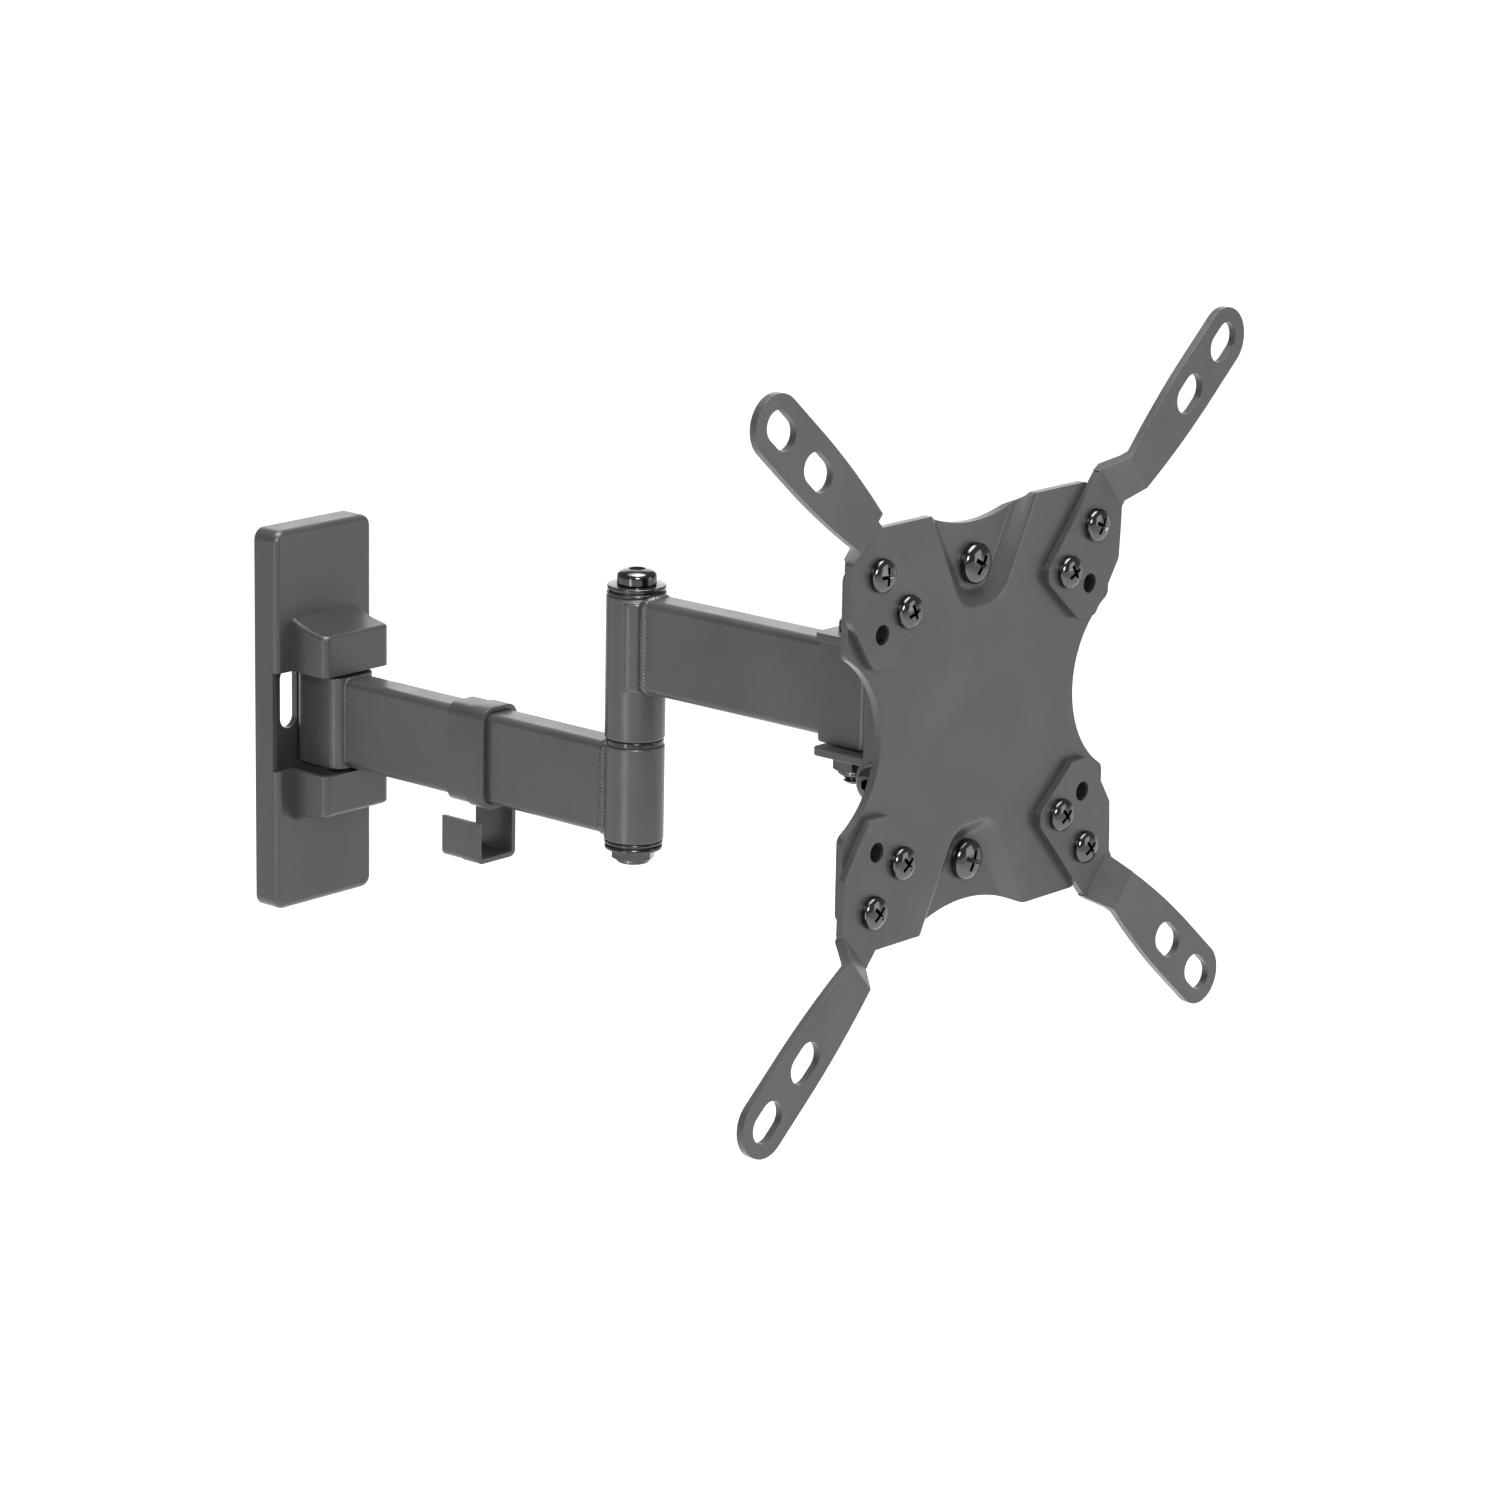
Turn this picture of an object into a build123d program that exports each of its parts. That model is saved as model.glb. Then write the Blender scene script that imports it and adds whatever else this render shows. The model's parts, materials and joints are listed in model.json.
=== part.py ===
"""Full motion TV wall mount: wall bracket, two arm sections, swivel and tilt head, TV plate.

Millimetres, +Z up. The origin is the centre of the wall plate's back face, on the wall plane Y = 0.
The mount reaches out from the wall towards -Y, and +X is to the right as seen from the room.
It stands in its straight-out pose, with every joint at zero.
"""

import os
from math import cos, radians, sin

from build123d import *

os.makedirs("parts", exist_ok=True)

# --- Driving dimensions -------------------------------------------------------------------------

# wall plate and its moulded cover
PLATE_T = 2.5
WALL_PLATE = (39.0, 123.0)
WALL_HOLE_PITCH = 100.0
WALL_HOLE_R = 3.5
COVER = (44.0, 128.5, 10.3)
COVER_WALL = 2.0
BAND_HALF = 16.7  # the gap between the two lobes, from the arm's middle
STRIP_D = 8.3  # depth of the side strips that bridge the gap
LOBE_HALF = 15.0
LOBE_Y = 26.0
LOBE_TOP = (36.0, 30.5)  # height of the lobe's roof at the cover and at its nose

# arm sections: one rectangular tube size for both
TUBE_W = 12.0
TUBE_H = 30.0
TUBE_R = 2.5
TUBE_T = 1.5
LOWER_Z = 0.0
UPPER_Z = 48.5

# the three upright axes, by their distance from the wall
WALL_AXIS = 14.5
ELBOW_AXIS = 149.5
HEAD_AXIS = 240.0
PIN_R = 4.0
RUN = 0.05  # running clearance round a pivot bolt

# wall pivot
BLOCK = (18.4, 20.5, 31.0)
BLOCK_BACK = 5.0
BLOCK_R = 4.0
EAR_T = 3.0
EAR_Z = 16.0
EAR_R = 7.8

# elbow
SLEEVE_R = 9.5
SLEEVE_BORE = 6.2
LOWER_SLEEVE = (-15.5, 15.5)
SPACER_T = 2.0
UPPER_SLEEVE = (17.5, 63.5)
FLANGE_T = 3.0
BOLT_HEAD_R = 6.3

# head: end block of the arm, yoke round it
END_BLOCK = (12.8, 19.0, 32.0)
END_BLOCK_BACK = 230.0
YOKE_HALF = 11.5
YOKE_T = 2.5
YOKE_BACK = 231.6
YOKE_R = 2.5  # rounded corners of its two flanges
YOKE_WEB = 252.0
YOKE_TOP = 64.5
YOKE_BOTTOM = 31.5

# tilt joint
TILT_AXIS = (260.0, 26.0)
TILT_R = 3.0
BARREL_R = 6.0
TILT_EAR = (12.0, 14.5)
TILT_EAR_R = 8.0
BRACKET_Z = (-3.0, 102.0)

# TV plate, VESA adapters and screws
PLATE_Z = 49.5
TV_PLATE_FRONT = 286.5
RECESS = 4.0
RECESS_TURN = 10.0  # radius of the recess outline's corners
RECESS_R = 2.5  # radius of its pressed edges
ADAPTER_T = 2.5
ADAPTER_STEP = 6.7
SCREW_PITCH = (100.0, 75.0)
OPEN_HOLE = (48.5, 32.3)
SLOTS = ((86.2, 85.9), (102.2, 99.8))
SLOT = (13.5, 9.4)
ARM_TURN = 41.0
ARM_R = 9.5
M6_Z = 45.0
M6_HEAD = (6.2, 4.0)
M5_HEAD = (5.0, 3.2)

# cable clip on the inner arm
CLIP_Y = (74.5, 91.0)
CLIP_STEP = 83.5
CLIP_T = (1.2, 1.7)
HOOK_FRONT = -10.0
HOOK_Z = -34.5
HOOK_LIP = -20.8


# --- Small shared shapes ------------------------------------------------------------------------


def upright(y, z):
    """The plane at height z whose origin lies on the upright axis y from the wall."""
    return Plane(origin=(0, -y, z))


def tube(y0, y1, z):
    """Rectangular arm tube from y0 to y1 out from the wall, its middle at height z."""
    bore = (TUBE_W - 2 * TUBE_T, TUBE_H - 2 * TUBE_T)
    with BuildPart() as part:
        with BuildSketch(Plane.XZ.offset(y0)):
            with Locations((0, z)):
                RectangleRounded(TUBE_W, TUBE_H, TUBE_R)
                RectangleRounded(*bore, TUBE_R - TUBE_T, mode=Mode.SUBTRACT)
        extrude(amount=y1 - y0)
    return part


def flanged_bush(y, z, flange_t, flange_r, body_r, body_l, up):
    """Flanged bush on an upright axis; the flange grows from z, the body the other way."""
    way = 1 if up else -1
    with BuildPart() as bush:
        with BuildSketch(upright(y, z)):
            Circle(flange_r)
        extrude(amount=way * flange_t)
        with BuildSketch(upright(y, z)):
            Circle(body_r)
        extrude(amount=-way * body_l)
        with BuildSketch(upright(y, z - body_l)):
            Circle(PIN_R + RUN)
        extrude(amount=2 * body_l + flange_t, both=True, mode=Mode.SUBTRACT)
    return bush


def hex_nut(plane, across, thick, bore):
    """Hexagon nut standing on a plane, with its corners turned off."""
    with BuildPart() as nut:
        with BuildSketch(plane):
            RegularPolygon(across / 2, 6, major_radius=False)
            Circle(bore, mode=Mode.SUBTRACT)
        extrude(amount=thick)
        with BuildSketch(plane):
            Circle(across * 0.56)
        extrude(amount=thick, mode=Mode.INTERSECT)
    return nut


def washer(plane, outer, inner, thick):
    """Flat washer on a plane."""
    with BuildPart() as ring:
        with BuildSketch(plane):
            Circle(outer)
            Circle(inner, mode=Mode.SUBTRACT)
        extrude(amount=thick)
    return ring


def button_bolt(plane, head_r, head_h, shank_r, shank_l, socket_af):
    """Button-head bolt: the head rises from the plane, the shank goes the other way."""
    with BuildPart() as bolt:
        with BuildSketch(plane):
            Circle(head_r)
        extrude(amount=head_h)
        crown = bolt.edges().sort_by(lambda edge: (edge.center() - plane.origin).dot(plane.z_dir))[-1]
        fillet(crown, head_h * 0.45)
        with BuildSketch(plane):
            Circle(shank_r)
        extrude(amount=-shank_l)
        with BuildSketch(plane.offset(head_h)):
            RegularPolygon(socket_af / 2, 6, major_radius=False)
        extrude(amount=-head_h * 0.6, mode=Mode.SUBTRACT)
    return bolt


def pan_screws(centres, plane, head, shank_r, shank_l):
    """Group of pan-head screws: every head rises from the plane at one of the centres."""
    head_r, head_h = head
    with BuildPart() as screws:
        with BuildSketch(plane):
            with Locations(*centres):
                Circle(head_r)
        extrude(amount=head_h)
        rims = screws.edges().sort_by(lambda edge: (edge.center() - plane.origin).dot(plane.z_dir))
        fillet(rims[-len(centres) :], head_h * 0.5)
        with BuildSketch(plane):
            with Locations(*centres):
                Circle(shank_r)
        extrude(amount=-shank_l)
        with BuildSketch(plane.offset(head_h)):
            with Locations(*centres):
                Rectangle(head_r, head_r * 0.22)
                Rectangle(head_r * 0.22, head_r)
        extrude(amount=-head_h * 0.5, mode=Mode.SUBTRACT)
    return screws


def save(part, name):
    """Label the finished piece and write its STEP file."""
    part.part.label = name
    export_step(part.part, f"parts/{name}.step")


# --- Wall bracket -------------------------------------------------------------------------------

# flat steel plate: two screw holes on the centre line, two slots beside the pivot
with BuildPart() as wall_plate:
    with BuildSketch(Plane.XZ):
        RectangleRounded(*WALL_PLATE, 4)
        with GridLocations(0, WALL_HOLE_PITCH, 1, 2):
            Circle(WALL_HOLE_R, mode=Mode.SUBTRACT)
        with Locations((-9.2, 5.4), (9.2, 5.4)):
            SlotOverall(20.8, 7.6, rotation=90, mode=Mode.SUBTRACT)
    extrude(amount=PLATE_T)
save(wall_plate, "wall_plate")

# two ears welded to the plate carry the pivot bolt
for name, low in (("pivot_ear_upper", EAR_Z), ("pivot_ear_lower", -EAR_Z - EAR_T)):
    with BuildPart() as ear:
        with BuildSketch(upright(0, low)):
            with Locations((0, -WALL_AXIS)):
                Circle(EAR_R)
            with Locations((0, -(PLATE_T + WALL_AXIS) / 2)):
                Rectangle(2 * EAR_R, WALL_AXIS - PLATE_T)
            with Locations((0, -WALL_AXIS)):
                Circle(PIN_R, mode=Mode.SUBTRACT)
        extrude(amount=EAR_T)
    save(ear, name)


def lobe(side, inset):
    """One lobe of the cover, side +1 above and -1 below, drawn in by inset for its hollow."""
    half = LOBE_HALF - inset
    nose = LOBE_Y - inset
    root = 4.0
    with BuildPart() as part:
        with BuildSketch(Plane.XY):
            with Locations((0, -(nose + root) / 2)):
                RectangleRounded(2 * half, nose - root, 3 - inset / 2)
        extrude(amount=LOBE_TOP[0] + 5, both=True)
        with BuildSketch(Plane.YZ):
            with BuildLine():
                base = Line((-root, side * (BAND_HALF - inset)), (-nose, side * (BAND_HALF - inset)))
                front = Line(base @ 1, (-nose, side * (LOBE_TOP[1] - inset)))
                ThreePointArc(
                    front @ 1,
                    (-nose * 0.64, side * (LOBE_TOP[1] + 1.6 - inset)),
                    (-root, side * (LOBE_TOP[0] + 2 - inset)),
                )
                Line((-root, side * (LOBE_TOP[0] + 2 - inset)), base @ 0)
            make_face()
        extrude(amount=LOBE_HALF, both=True, mode=Mode.INTERSECT)
        if inset == 0:
            brow = part.faces().sort_by(Axis.Z)[-1 if side > 0 else 0].edges()
            fillet(brow.filter_by(lambda edge: edge.center().Y < -root - 1), 1.4)
    return part


# moulded cover: a shallow shell with a hollow lobe over each ear
with BuildPart() as wall_cover:
    with BuildSketch(Plane.XZ):
        RectangleRounded(COVER[0], COVER[1], 4)
    extrude(amount=COVER[2])
    fillet(wall_cover.faces().sort_by(Axis.Y)[0].edges(), 2.4)
    for side in (1, -1):
        add(lobe(side, 0).part)
    with BuildSketch(Plane.XZ):
        RectangleRounded(COVER[0] - 2 * COVER_WALL, COVER[1] - 2 * COVER_WALL, 2)
    extrude(amount=COVER[2] - COVER_WALL, mode=Mode.SUBTRACT)
    for side in (1, -1):
        add(lobe(side, COVER_WALL).part, mode=Mode.SUBTRACT)
    # the arm's gap: the front is cut away, narrow side strips stay
    with BuildSketch(Plane.XZ.offset(STRIP_D)):
        Rectangle(COVER[0], 2 * BAND_HALF)
    extrude(amount=LOBE_Y, mode=Mode.SUBTRACT)
save(wall_cover, "wall_cover")

ear_top = EAR_Z + EAR_T
save(
    button_bolt(upright(WALL_AXIS, ear_top), BOLT_HEAD_R, 4.5, PIN_R, 2 * ear_top + 6.5, 5),
    "wall_pivot_bolt",
)
save(hex_nut(upright(WALL_AXIS, -ear_top - 6), 13, 6, PIN_R), "wall_pivot_nut")

# --- Inner arm ----------------------------------------------------------------------------------

# pivot block: rectangular steel block with rounded upright corners, bored for two bushes
with BuildPart() as pivot_block:
    with BuildSketch(upright(0, -BLOCK[2] / 2)):
        with Locations((0, -BLOCK_BACK - BLOCK[1] / 2)):
            RectangleRounded(BLOCK[0], BLOCK[1], BLOCK_R)
        with Locations((0, -WALL_AXIS)):
            Circle(SLEEVE_BORE, mode=Mode.SUBTRACT)
    extrude(amount=BLOCK[2])
save(pivot_block, "pivot_block")

half = BLOCK[2] / 2
save(flanged_bush(WALL_AXIS, half, 0.4, 8, SLEEVE_BORE, half, True), "wall_bush_upper")
save(flanged_bush(WALL_AXIS, -half, 0.4, 8, SLEEVE_BORE, half, False), "wall_bush_lower")

# inner tube: from the pivot block to the elbow sleeve, its end coped to the sleeve
with BuildPart() as inner_tube:
    add(tube(BLOCK_BACK + BLOCK[1], ELBOW_AXIS, LOWER_Z).part)
    with BuildSketch(upright(ELBOW_AXIS, LOWER_Z - TUBE_H)):
        Circle(SLEEVE_R)
    extrude(amount=2 * TUBE_H, mode=Mode.SUBTRACT)
save(inner_tube, "inner_tube")

# --- Elbow --------------------------------------------------------------------------------------

for name, (low, high) in (("inner_sleeve", LOWER_SLEEVE), ("outer_sleeve", UPPER_SLEEVE)):
    with BuildPart() as sleeve:
        with BuildSketch(upright(ELBOW_AXIS, low)):
            Circle(SLEEVE_R)
            Circle(SLEEVE_BORE, mode=Mode.SUBTRACT)
        extrude(amount=high - low)
        rims = sleeve.edges().filter_by(GeomType.CIRCLE)
        chamfer(rims.filter_by(lambda edge: edge.radius > SLEEVE_R - 0.01), 0.4)
    save(sleeve, name)

spacer = washer(upright(ELBOW_AXIS, LOWER_SLEEVE[1]), SLEEVE_R - 0.3, PIN_R + RUN, SPACER_T - 0.1)
save(spacer, "elbow_spacer")
lower_bush = flanged_bush(ELBOW_AXIS, LOWER_SLEEVE[0], FLANGE_T, SLEEVE_R - 0.2, SLEEVE_BORE, 14, False)
save(lower_bush, "elbow_bush_lower")
upper_bush = flanged_bush(ELBOW_AXIS, UPPER_SLEEVE[1], FLANGE_T, SLEEVE_R - 0.1, SLEEVE_BORE, 14, True)
save(upper_bush, "elbow_bush_upper")

bolt_seat = UPPER_SLEEVE[1] + FLANGE_T
nut_seat = LOWER_SLEEVE[0] - FLANGE_T - 0.1
save(
    button_bolt(upright(ELBOW_AXIS, bolt_seat), BOLT_HEAD_R, 5, PIN_R, bolt_seat - nut_seat + 4.6, 5),
    "elbow_bolt",
)
save(hex_nut(upright(ELBOW_AXIS, nut_seat - 4.6), 12.4, 4.6, PIN_R), "elbow_nut")

# --- Cable clip ---------------------------------------------------------------------------------

# sleeve round the inner tube in two bands, the outer one prouder, with a hook for cables below
with BuildPart() as cable_clip:
    for start, stop, thick in (
        (CLIP_Y[0], CLIP_STEP, CLIP_T[0]),
        (CLIP_STEP, CLIP_Y[1], CLIP_T[1]),
    ):
        with BuildSketch(Plane.XZ.offset(start)):
            RectangleRounded(TUBE_W + 0.4 + 2 * thick, TUBE_H + 0.4 + 2 * thick, TUBE_R + thick)
            RectangleRounded(TUBE_W + 0.4, TUBE_H + 0.4, TUBE_R, mode=Mode.SUBTRACT)
        extrude(amount=stop - start)
        with BuildSketch(Plane.XZ.offset(start)):
            with BuildLine():
                FilletPolyline(
                    (TUBE_W / 2 + 0.6, -TUBE_H / 2 - 0.8),
                    (TUBE_W / 2 + 0.6, HOOK_Z + thick / 2),
                    (HOOK_FRONT + thick / 2, HOOK_Z + thick / 2),
                    (HOOK_FRONT + thick / 2, HOOK_LIP),
                    radius=1.5,
                )
                offset(amount=thick / 2, side=Side.BOTH)
            make_face()
        extrude(amount=stop - start)
save(cable_clip, "cable_clip")

# --- Outer arm ----------------------------------------------------------------------------------

with BuildPart() as outer_tube:
    add(tube(ELBOW_AXIS, END_BLOCK_BACK, UPPER_Z).part)
    with BuildSketch(upright(ELBOW_AXIS, UPPER_Z - TUBE_H)):
        Circle(SLEEVE_R)
    extrude(amount=2 * TUBE_H, mode=Mode.SUBTRACT)
save(outer_tube, "outer_tube")

# end block: closes the tube and carries the swivel bolt
block_low = UPPER_Z - END_BLOCK[2] / 2 - 0.5
with BuildPart() as head_block:
    with BuildSketch(upright(0, block_low)):
        with Locations((0, -END_BLOCK_BACK - END_BLOCK[1] / 2)):
            Rectangle(END_BLOCK[0], END_BLOCK[1])
    extrude(amount=END_BLOCK[2])
    fillet(head_block.edges().filter_by(Axis.Z).group_by(Axis.Y)[0], 3.5)
    fillet(head_block.edges().filter_by(Axis.X).group_by(Axis.Y)[-1], 1)
    with BuildSketch(upright(HEAD_AXIS, block_low)):
        Circle(PIN_R + RUN)
    extrude(amount=END_BLOCK[2], mode=Mode.SUBTRACT)
    with BuildSketch(Plane.XZ.offset(END_BLOCK_BACK - 12)):
        with Locations((0, UPPER_Z)):
            RectangleRounded(TUBE_W - 2 * TUBE_T - 0.4, TUBE_H - 2 * TUBE_T - 0.4, 1.2)
    extrude(amount=12)
save(head_block, "head_block")

# --- Swivel head --------------------------------------------------------------------------------

# yoke: two flanges round the end block, a web towards the screen and the tilt barrel below
with BuildPart() as swivel_yoke:
    with BuildSketch(Plane.YZ):
        with BuildLine():
            Polyline(
                (-YOKE_BACK, YOKE_TOP + YOKE_T),
                (-YOKE_WEB - YOKE_T, YOKE_TOP + YOKE_T),
                (-YOKE_WEB - YOKE_T, TILT_AXIS[1]),
                (-YOKE_WEB, TILT_AXIS[1]),
                (-YOKE_WEB, YOKE_BOTTOM - YOKE_T),
                (-YOKE_BACK, YOKE_BOTTOM - YOKE_T),
                (-YOKE_BACK, YOKE_BOTTOM),
                (-YOKE_WEB, YOKE_BOTTOM),
                (-YOKE_WEB, YOKE_TOP),
                (-YOKE_BACK, YOKE_TOP),
                close=True,
            )
        make_face()
    extrude(amount=YOKE_HALF, both=True)
    fillet(swivel_yoke.edges().filter_by(Axis.Z).group_by(Axis.Y)[-1], YOKE_R)
    with BuildSketch(Plane.YZ):
        with Locations((-TILT_AXIS[0], TILT_AXIS[1])):
            Circle(BARREL_R)
    extrude(amount=YOKE_HALF, both=True)
    with BuildSketch(Plane.YZ):
        with Locations((-YOKE_WEB - YOKE_T - 1, TILT_AXIS[1] + BARREL_R / 2)):
            Rectangle(3, BARREL_R)
    extrude(amount=YOKE_HALF, both=True)
    with BuildSketch(Plane.YZ):
        with Locations((-TILT_AXIS[0], TILT_AXIS[1])):
            Circle(TILT_R + RUN)
    extrude(amount=YOKE_HALF, both=True, mode=Mode.SUBTRACT)
    with BuildSketch(upright(HEAD_AXIS, YOKE_BOTTOM - YOKE_T)):
        Circle(PIN_R)
    extrude(amount=YOKE_TOP + 2 * YOKE_T - YOKE_BOTTOM, mode=Mode.SUBTRACT)
save(swivel_yoke, "swivel_yoke")

swivel_seat = YOKE_TOP + YOKE_T
swivel_foot = YOKE_BOTTOM - YOKE_T
save(
    button_bolt(upright(HEAD_AXIS, swivel_seat), BOLT_HEAD_R, 4.5, PIN_R, swivel_seat - swivel_foot + 9, 5),
    "swivel_bolt",
)
save(washer(upright(HEAD_AXIS, swivel_foot - 1), 7.5, PIN_R, 1), "swivel_washer")
save(hex_nut(upright(HEAD_AXIS, swivel_foot - 6.5), 13, 5.5, PIN_R), "swivel_nut")
block_high = block_low + END_BLOCK[2]
upper_gap = washer(upright(HEAD_AXIS, block_high), 6, PIN_R + RUN, YOKE_TOP - block_high - 0.1)
save(upper_gap, "head_washer_upper")
lower_gap = washer(upright(HEAD_AXIS, YOKE_BOTTOM + 0.1), 6, PIN_R + RUN, block_low - YOKE_BOTTOM - 0.1)
save(lower_gap, "head_washer_lower")

# --- TV plate -----------------------------------------------------------------------------------

# tilt bracket: an upright channel behind the plate whose two ears hold the tilt bolt
bracket_front = TV_PLATE_FRONT - PLATE_T - RECESS
bracket_mid = (BRACKET_Z[0] + BRACKET_Z[1]) / 2
with BuildPart() as tilt_bracket:
    with BuildSketch(Plane.XZ.offset(bracket_front - 2.5)):
        with Locations((0, bracket_mid)):
            RectangleRounded(2 * TILT_EAR[1], BRACKET_Z[1] - BRACKET_Z[0], 4)
        with Locations((0, PLATE_Z - M6_Z), (0, PLATE_Z + M6_Z)):
            Circle(3.05, mode=Mode.SUBTRACT)
    extrude(amount=2.5)
    for side in (1, -1):
        with BuildSketch(Plane.YZ.offset(side * TILT_EAR[0])):
            with Locations((-TILT_AXIS[0], TILT_AXIS[1])):
                Circle(TILT_EAR_R)
            with BuildLine():
                Polyline(
                    (-bracket_front + 1, TILT_AXIS[1] - TILT_EAR_R),
                    (-TILT_AXIS[0], TILT_AXIS[1] - TILT_EAR_R),
                    (-TILT_AXIS[0] + 4.5, TILT_AXIS[1]),
                    (-TILT_AXIS[0] + 4.5, 62),
                    (-TILT_AXIS[0] - 8, 80),
                    (-bracket_front + 1, 80),
                    close=True,
                )
            make_face()
            with Locations((-TILT_AXIS[0], TILT_AXIS[1])):
                Circle(TILT_R, mode=Mode.SUBTRACT)
        extrude(amount=side * (TILT_EAR[1] - TILT_EAR[0]))
save(tilt_bracket, "tilt_bracket")

tilt_left = Plane(origin=(-TILT_EAR[1], -TILT_AXIS[0], TILT_AXIS[1]), x_dir=(0, 1, 0), z_dir=(-1, 0, 0))
tilt_right = Plane(origin=(TILT_EAR[1], -TILT_AXIS[0], TILT_AXIS[1]), x_dir=(0, 1, 0), z_dir=(1, 0, 0))
save(washer(tilt_left, 6.5, TILT_R, 1), "tilt_washer_left")
save(washer(tilt_right, 6.5, TILT_R, 1), "tilt_washer_right")
tilt_bolt = button_bolt(tilt_left.offset(1), 5.2, 3.6, TILT_R, 2 * TILT_EAR[1] + 9, 4)
save(tilt_bolt, "tilt_bolt")
save(hex_nut(tilt_right.offset(1), 10, 5, TILT_R), "tilt_nut")


def plate_outline():
    """The TV plate's outline: a square whose sides curve inwards between the corners."""
    side_in = 45
    top_dip = 57.5
    corner = 63
    with BuildSketch(Plane.XZ.offset(TV_PLATE_FRONT)) as outline:
        with Locations((0, PLATE_Z)):
            Rectangle(2 * corner - 4, 2 * corner)
        for way in (1, -1):
            with Locations((way * (corner - 2), PLATE_Z + corner), (way * (corner - 2), PLATE_Z - corner)):
                Rectangle(18, 18, rotation=45, mode=Mode.SUBTRACT)
            with BuildLine():
                ThreePointArc(
                    (way * 62, PLATE_Z - 27),
                    (way * side_in, PLATE_Z),
                    (way * 62, PLATE_Z + 27),
                )
                Line((way * 62, PLATE_Z + 27), (way * 62, PLATE_Z - 27))
            make_face(mode=Mode.SUBTRACT)
            with BuildLine():
                ThreePointArc(
                    (-26, PLATE_Z + way * (corner + 1)),
                    (0, PLATE_Z + way * top_dip),
                    (26, PLATE_Z + way * (corner + 1)),
                )
                Line((26, PLATE_Z + way * (corner + 1)), (-26, PLATE_Z + way * (corner + 1)))
            make_face(mode=Mode.SUBTRACT)
        fillet(outline.vertices(), 3)
    return outline


def recess(way, grow, depth):
    """One pressed recess, way +1 at the top and -1 at the bottom, with sloping walls."""
    with BuildPart() as part:
        for down, inset in ((0, -grow), (depth, depth * 1.1 - grow)):
            end = PLATE_Z + way * (33 + inset)
            mouth = PLATE_Z + way * 68
            with BuildSketch(Plane.XZ.offset(TV_PLATE_FRONT - down)):
                with BuildLine():
                    FilletPolyline(
                        (inset - 27, mouth),
                        (inset - 9.5, end),
                        (9.5 - inset, end),
                        (27 - inset, mouth),
                        radius=RECESS_TURN - inset,
                    )
                    Line((27 - inset, mouth), (inset - 27, mouth))
                make_face()
        loft()
    return part


with BuildPart() as vesa_plate:
    extrude(plate_outline().sketch, amount=-PLATE_T)
    for way in (1, -1):
        add(recess(way, 1, PLATE_T + RECESS).part)
        add(recess(way, 0, RECESS).part, mode=Mode.SUBTRACT)
    extrude(plate_outline().sketch, amount=-PLATE_T - RECESS, mode=Mode.INTERSECT)
    slopes = vesa_plate.faces().filter_by(lambda face: 0.3 < abs(face.normal_at().Y) < 0.95)
    fillet(slopes.edges().filter_by(lambda edge: edge.bounding_box().size.Y < 0.01), RECESS_R)
    with BuildSketch(Plane.XZ.offset(TV_PLATE_FRONT)):
        with Locations((0, PLATE_Z)):
            with GridLocations(SCREW_PITCH[0], SCREW_PITCH[0], 2, 2):
                Circle(2.5)
            with GridLocations(SCREW_PITCH[1], SCREW_PITCH[1], 2, 2):
                Circle(2.5)
            with GridLocations(2 * OPEN_HOLE[0], 2 * OPEN_HOLE[1], 2, 2):
                Circle(3)
            with GridLocations(0, 2 * M6_Z, 1, 2):
                Circle(3.05)
    extrude(amount=-PLATE_T - RECESS, mode=Mode.SUBTRACT)
save(vesa_plate, "vesa_plate")

# adapters: a foot screwed to the plate's corner, a step towards the screen, then a slotted arm
along = Vector(cos(radians(ARM_TURN)), sin(radians(ARM_TURN)))
across = Vector(-along.Y, along.X)
axis_out = across.dot(Vector(*SLOTS[1]))
arm_end = along.dot(Vector(*SLOTS[1])) + 1.6
foot_end = 84.0
arm_start = foot_end + ADAPTER_STEP
face = Plane(origin=(0, -TV_PLATE_FRONT, PLATE_Z), x_dir=(1, 0, 0), z_dir=(0, -1, 0))
side_view = Plane(
    origin=(0, -TV_PLATE_FRONT, PLATE_Z),
    x_dir=(along.X, 0, along.Y),
    z_dir=(across.X, 0, across.Y),
)


def arm_point(reach, out):
    """A point in the adapter's face plane: reach along the arm, out from its middle line."""
    return along * reach + across * (axis_out + out)


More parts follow.
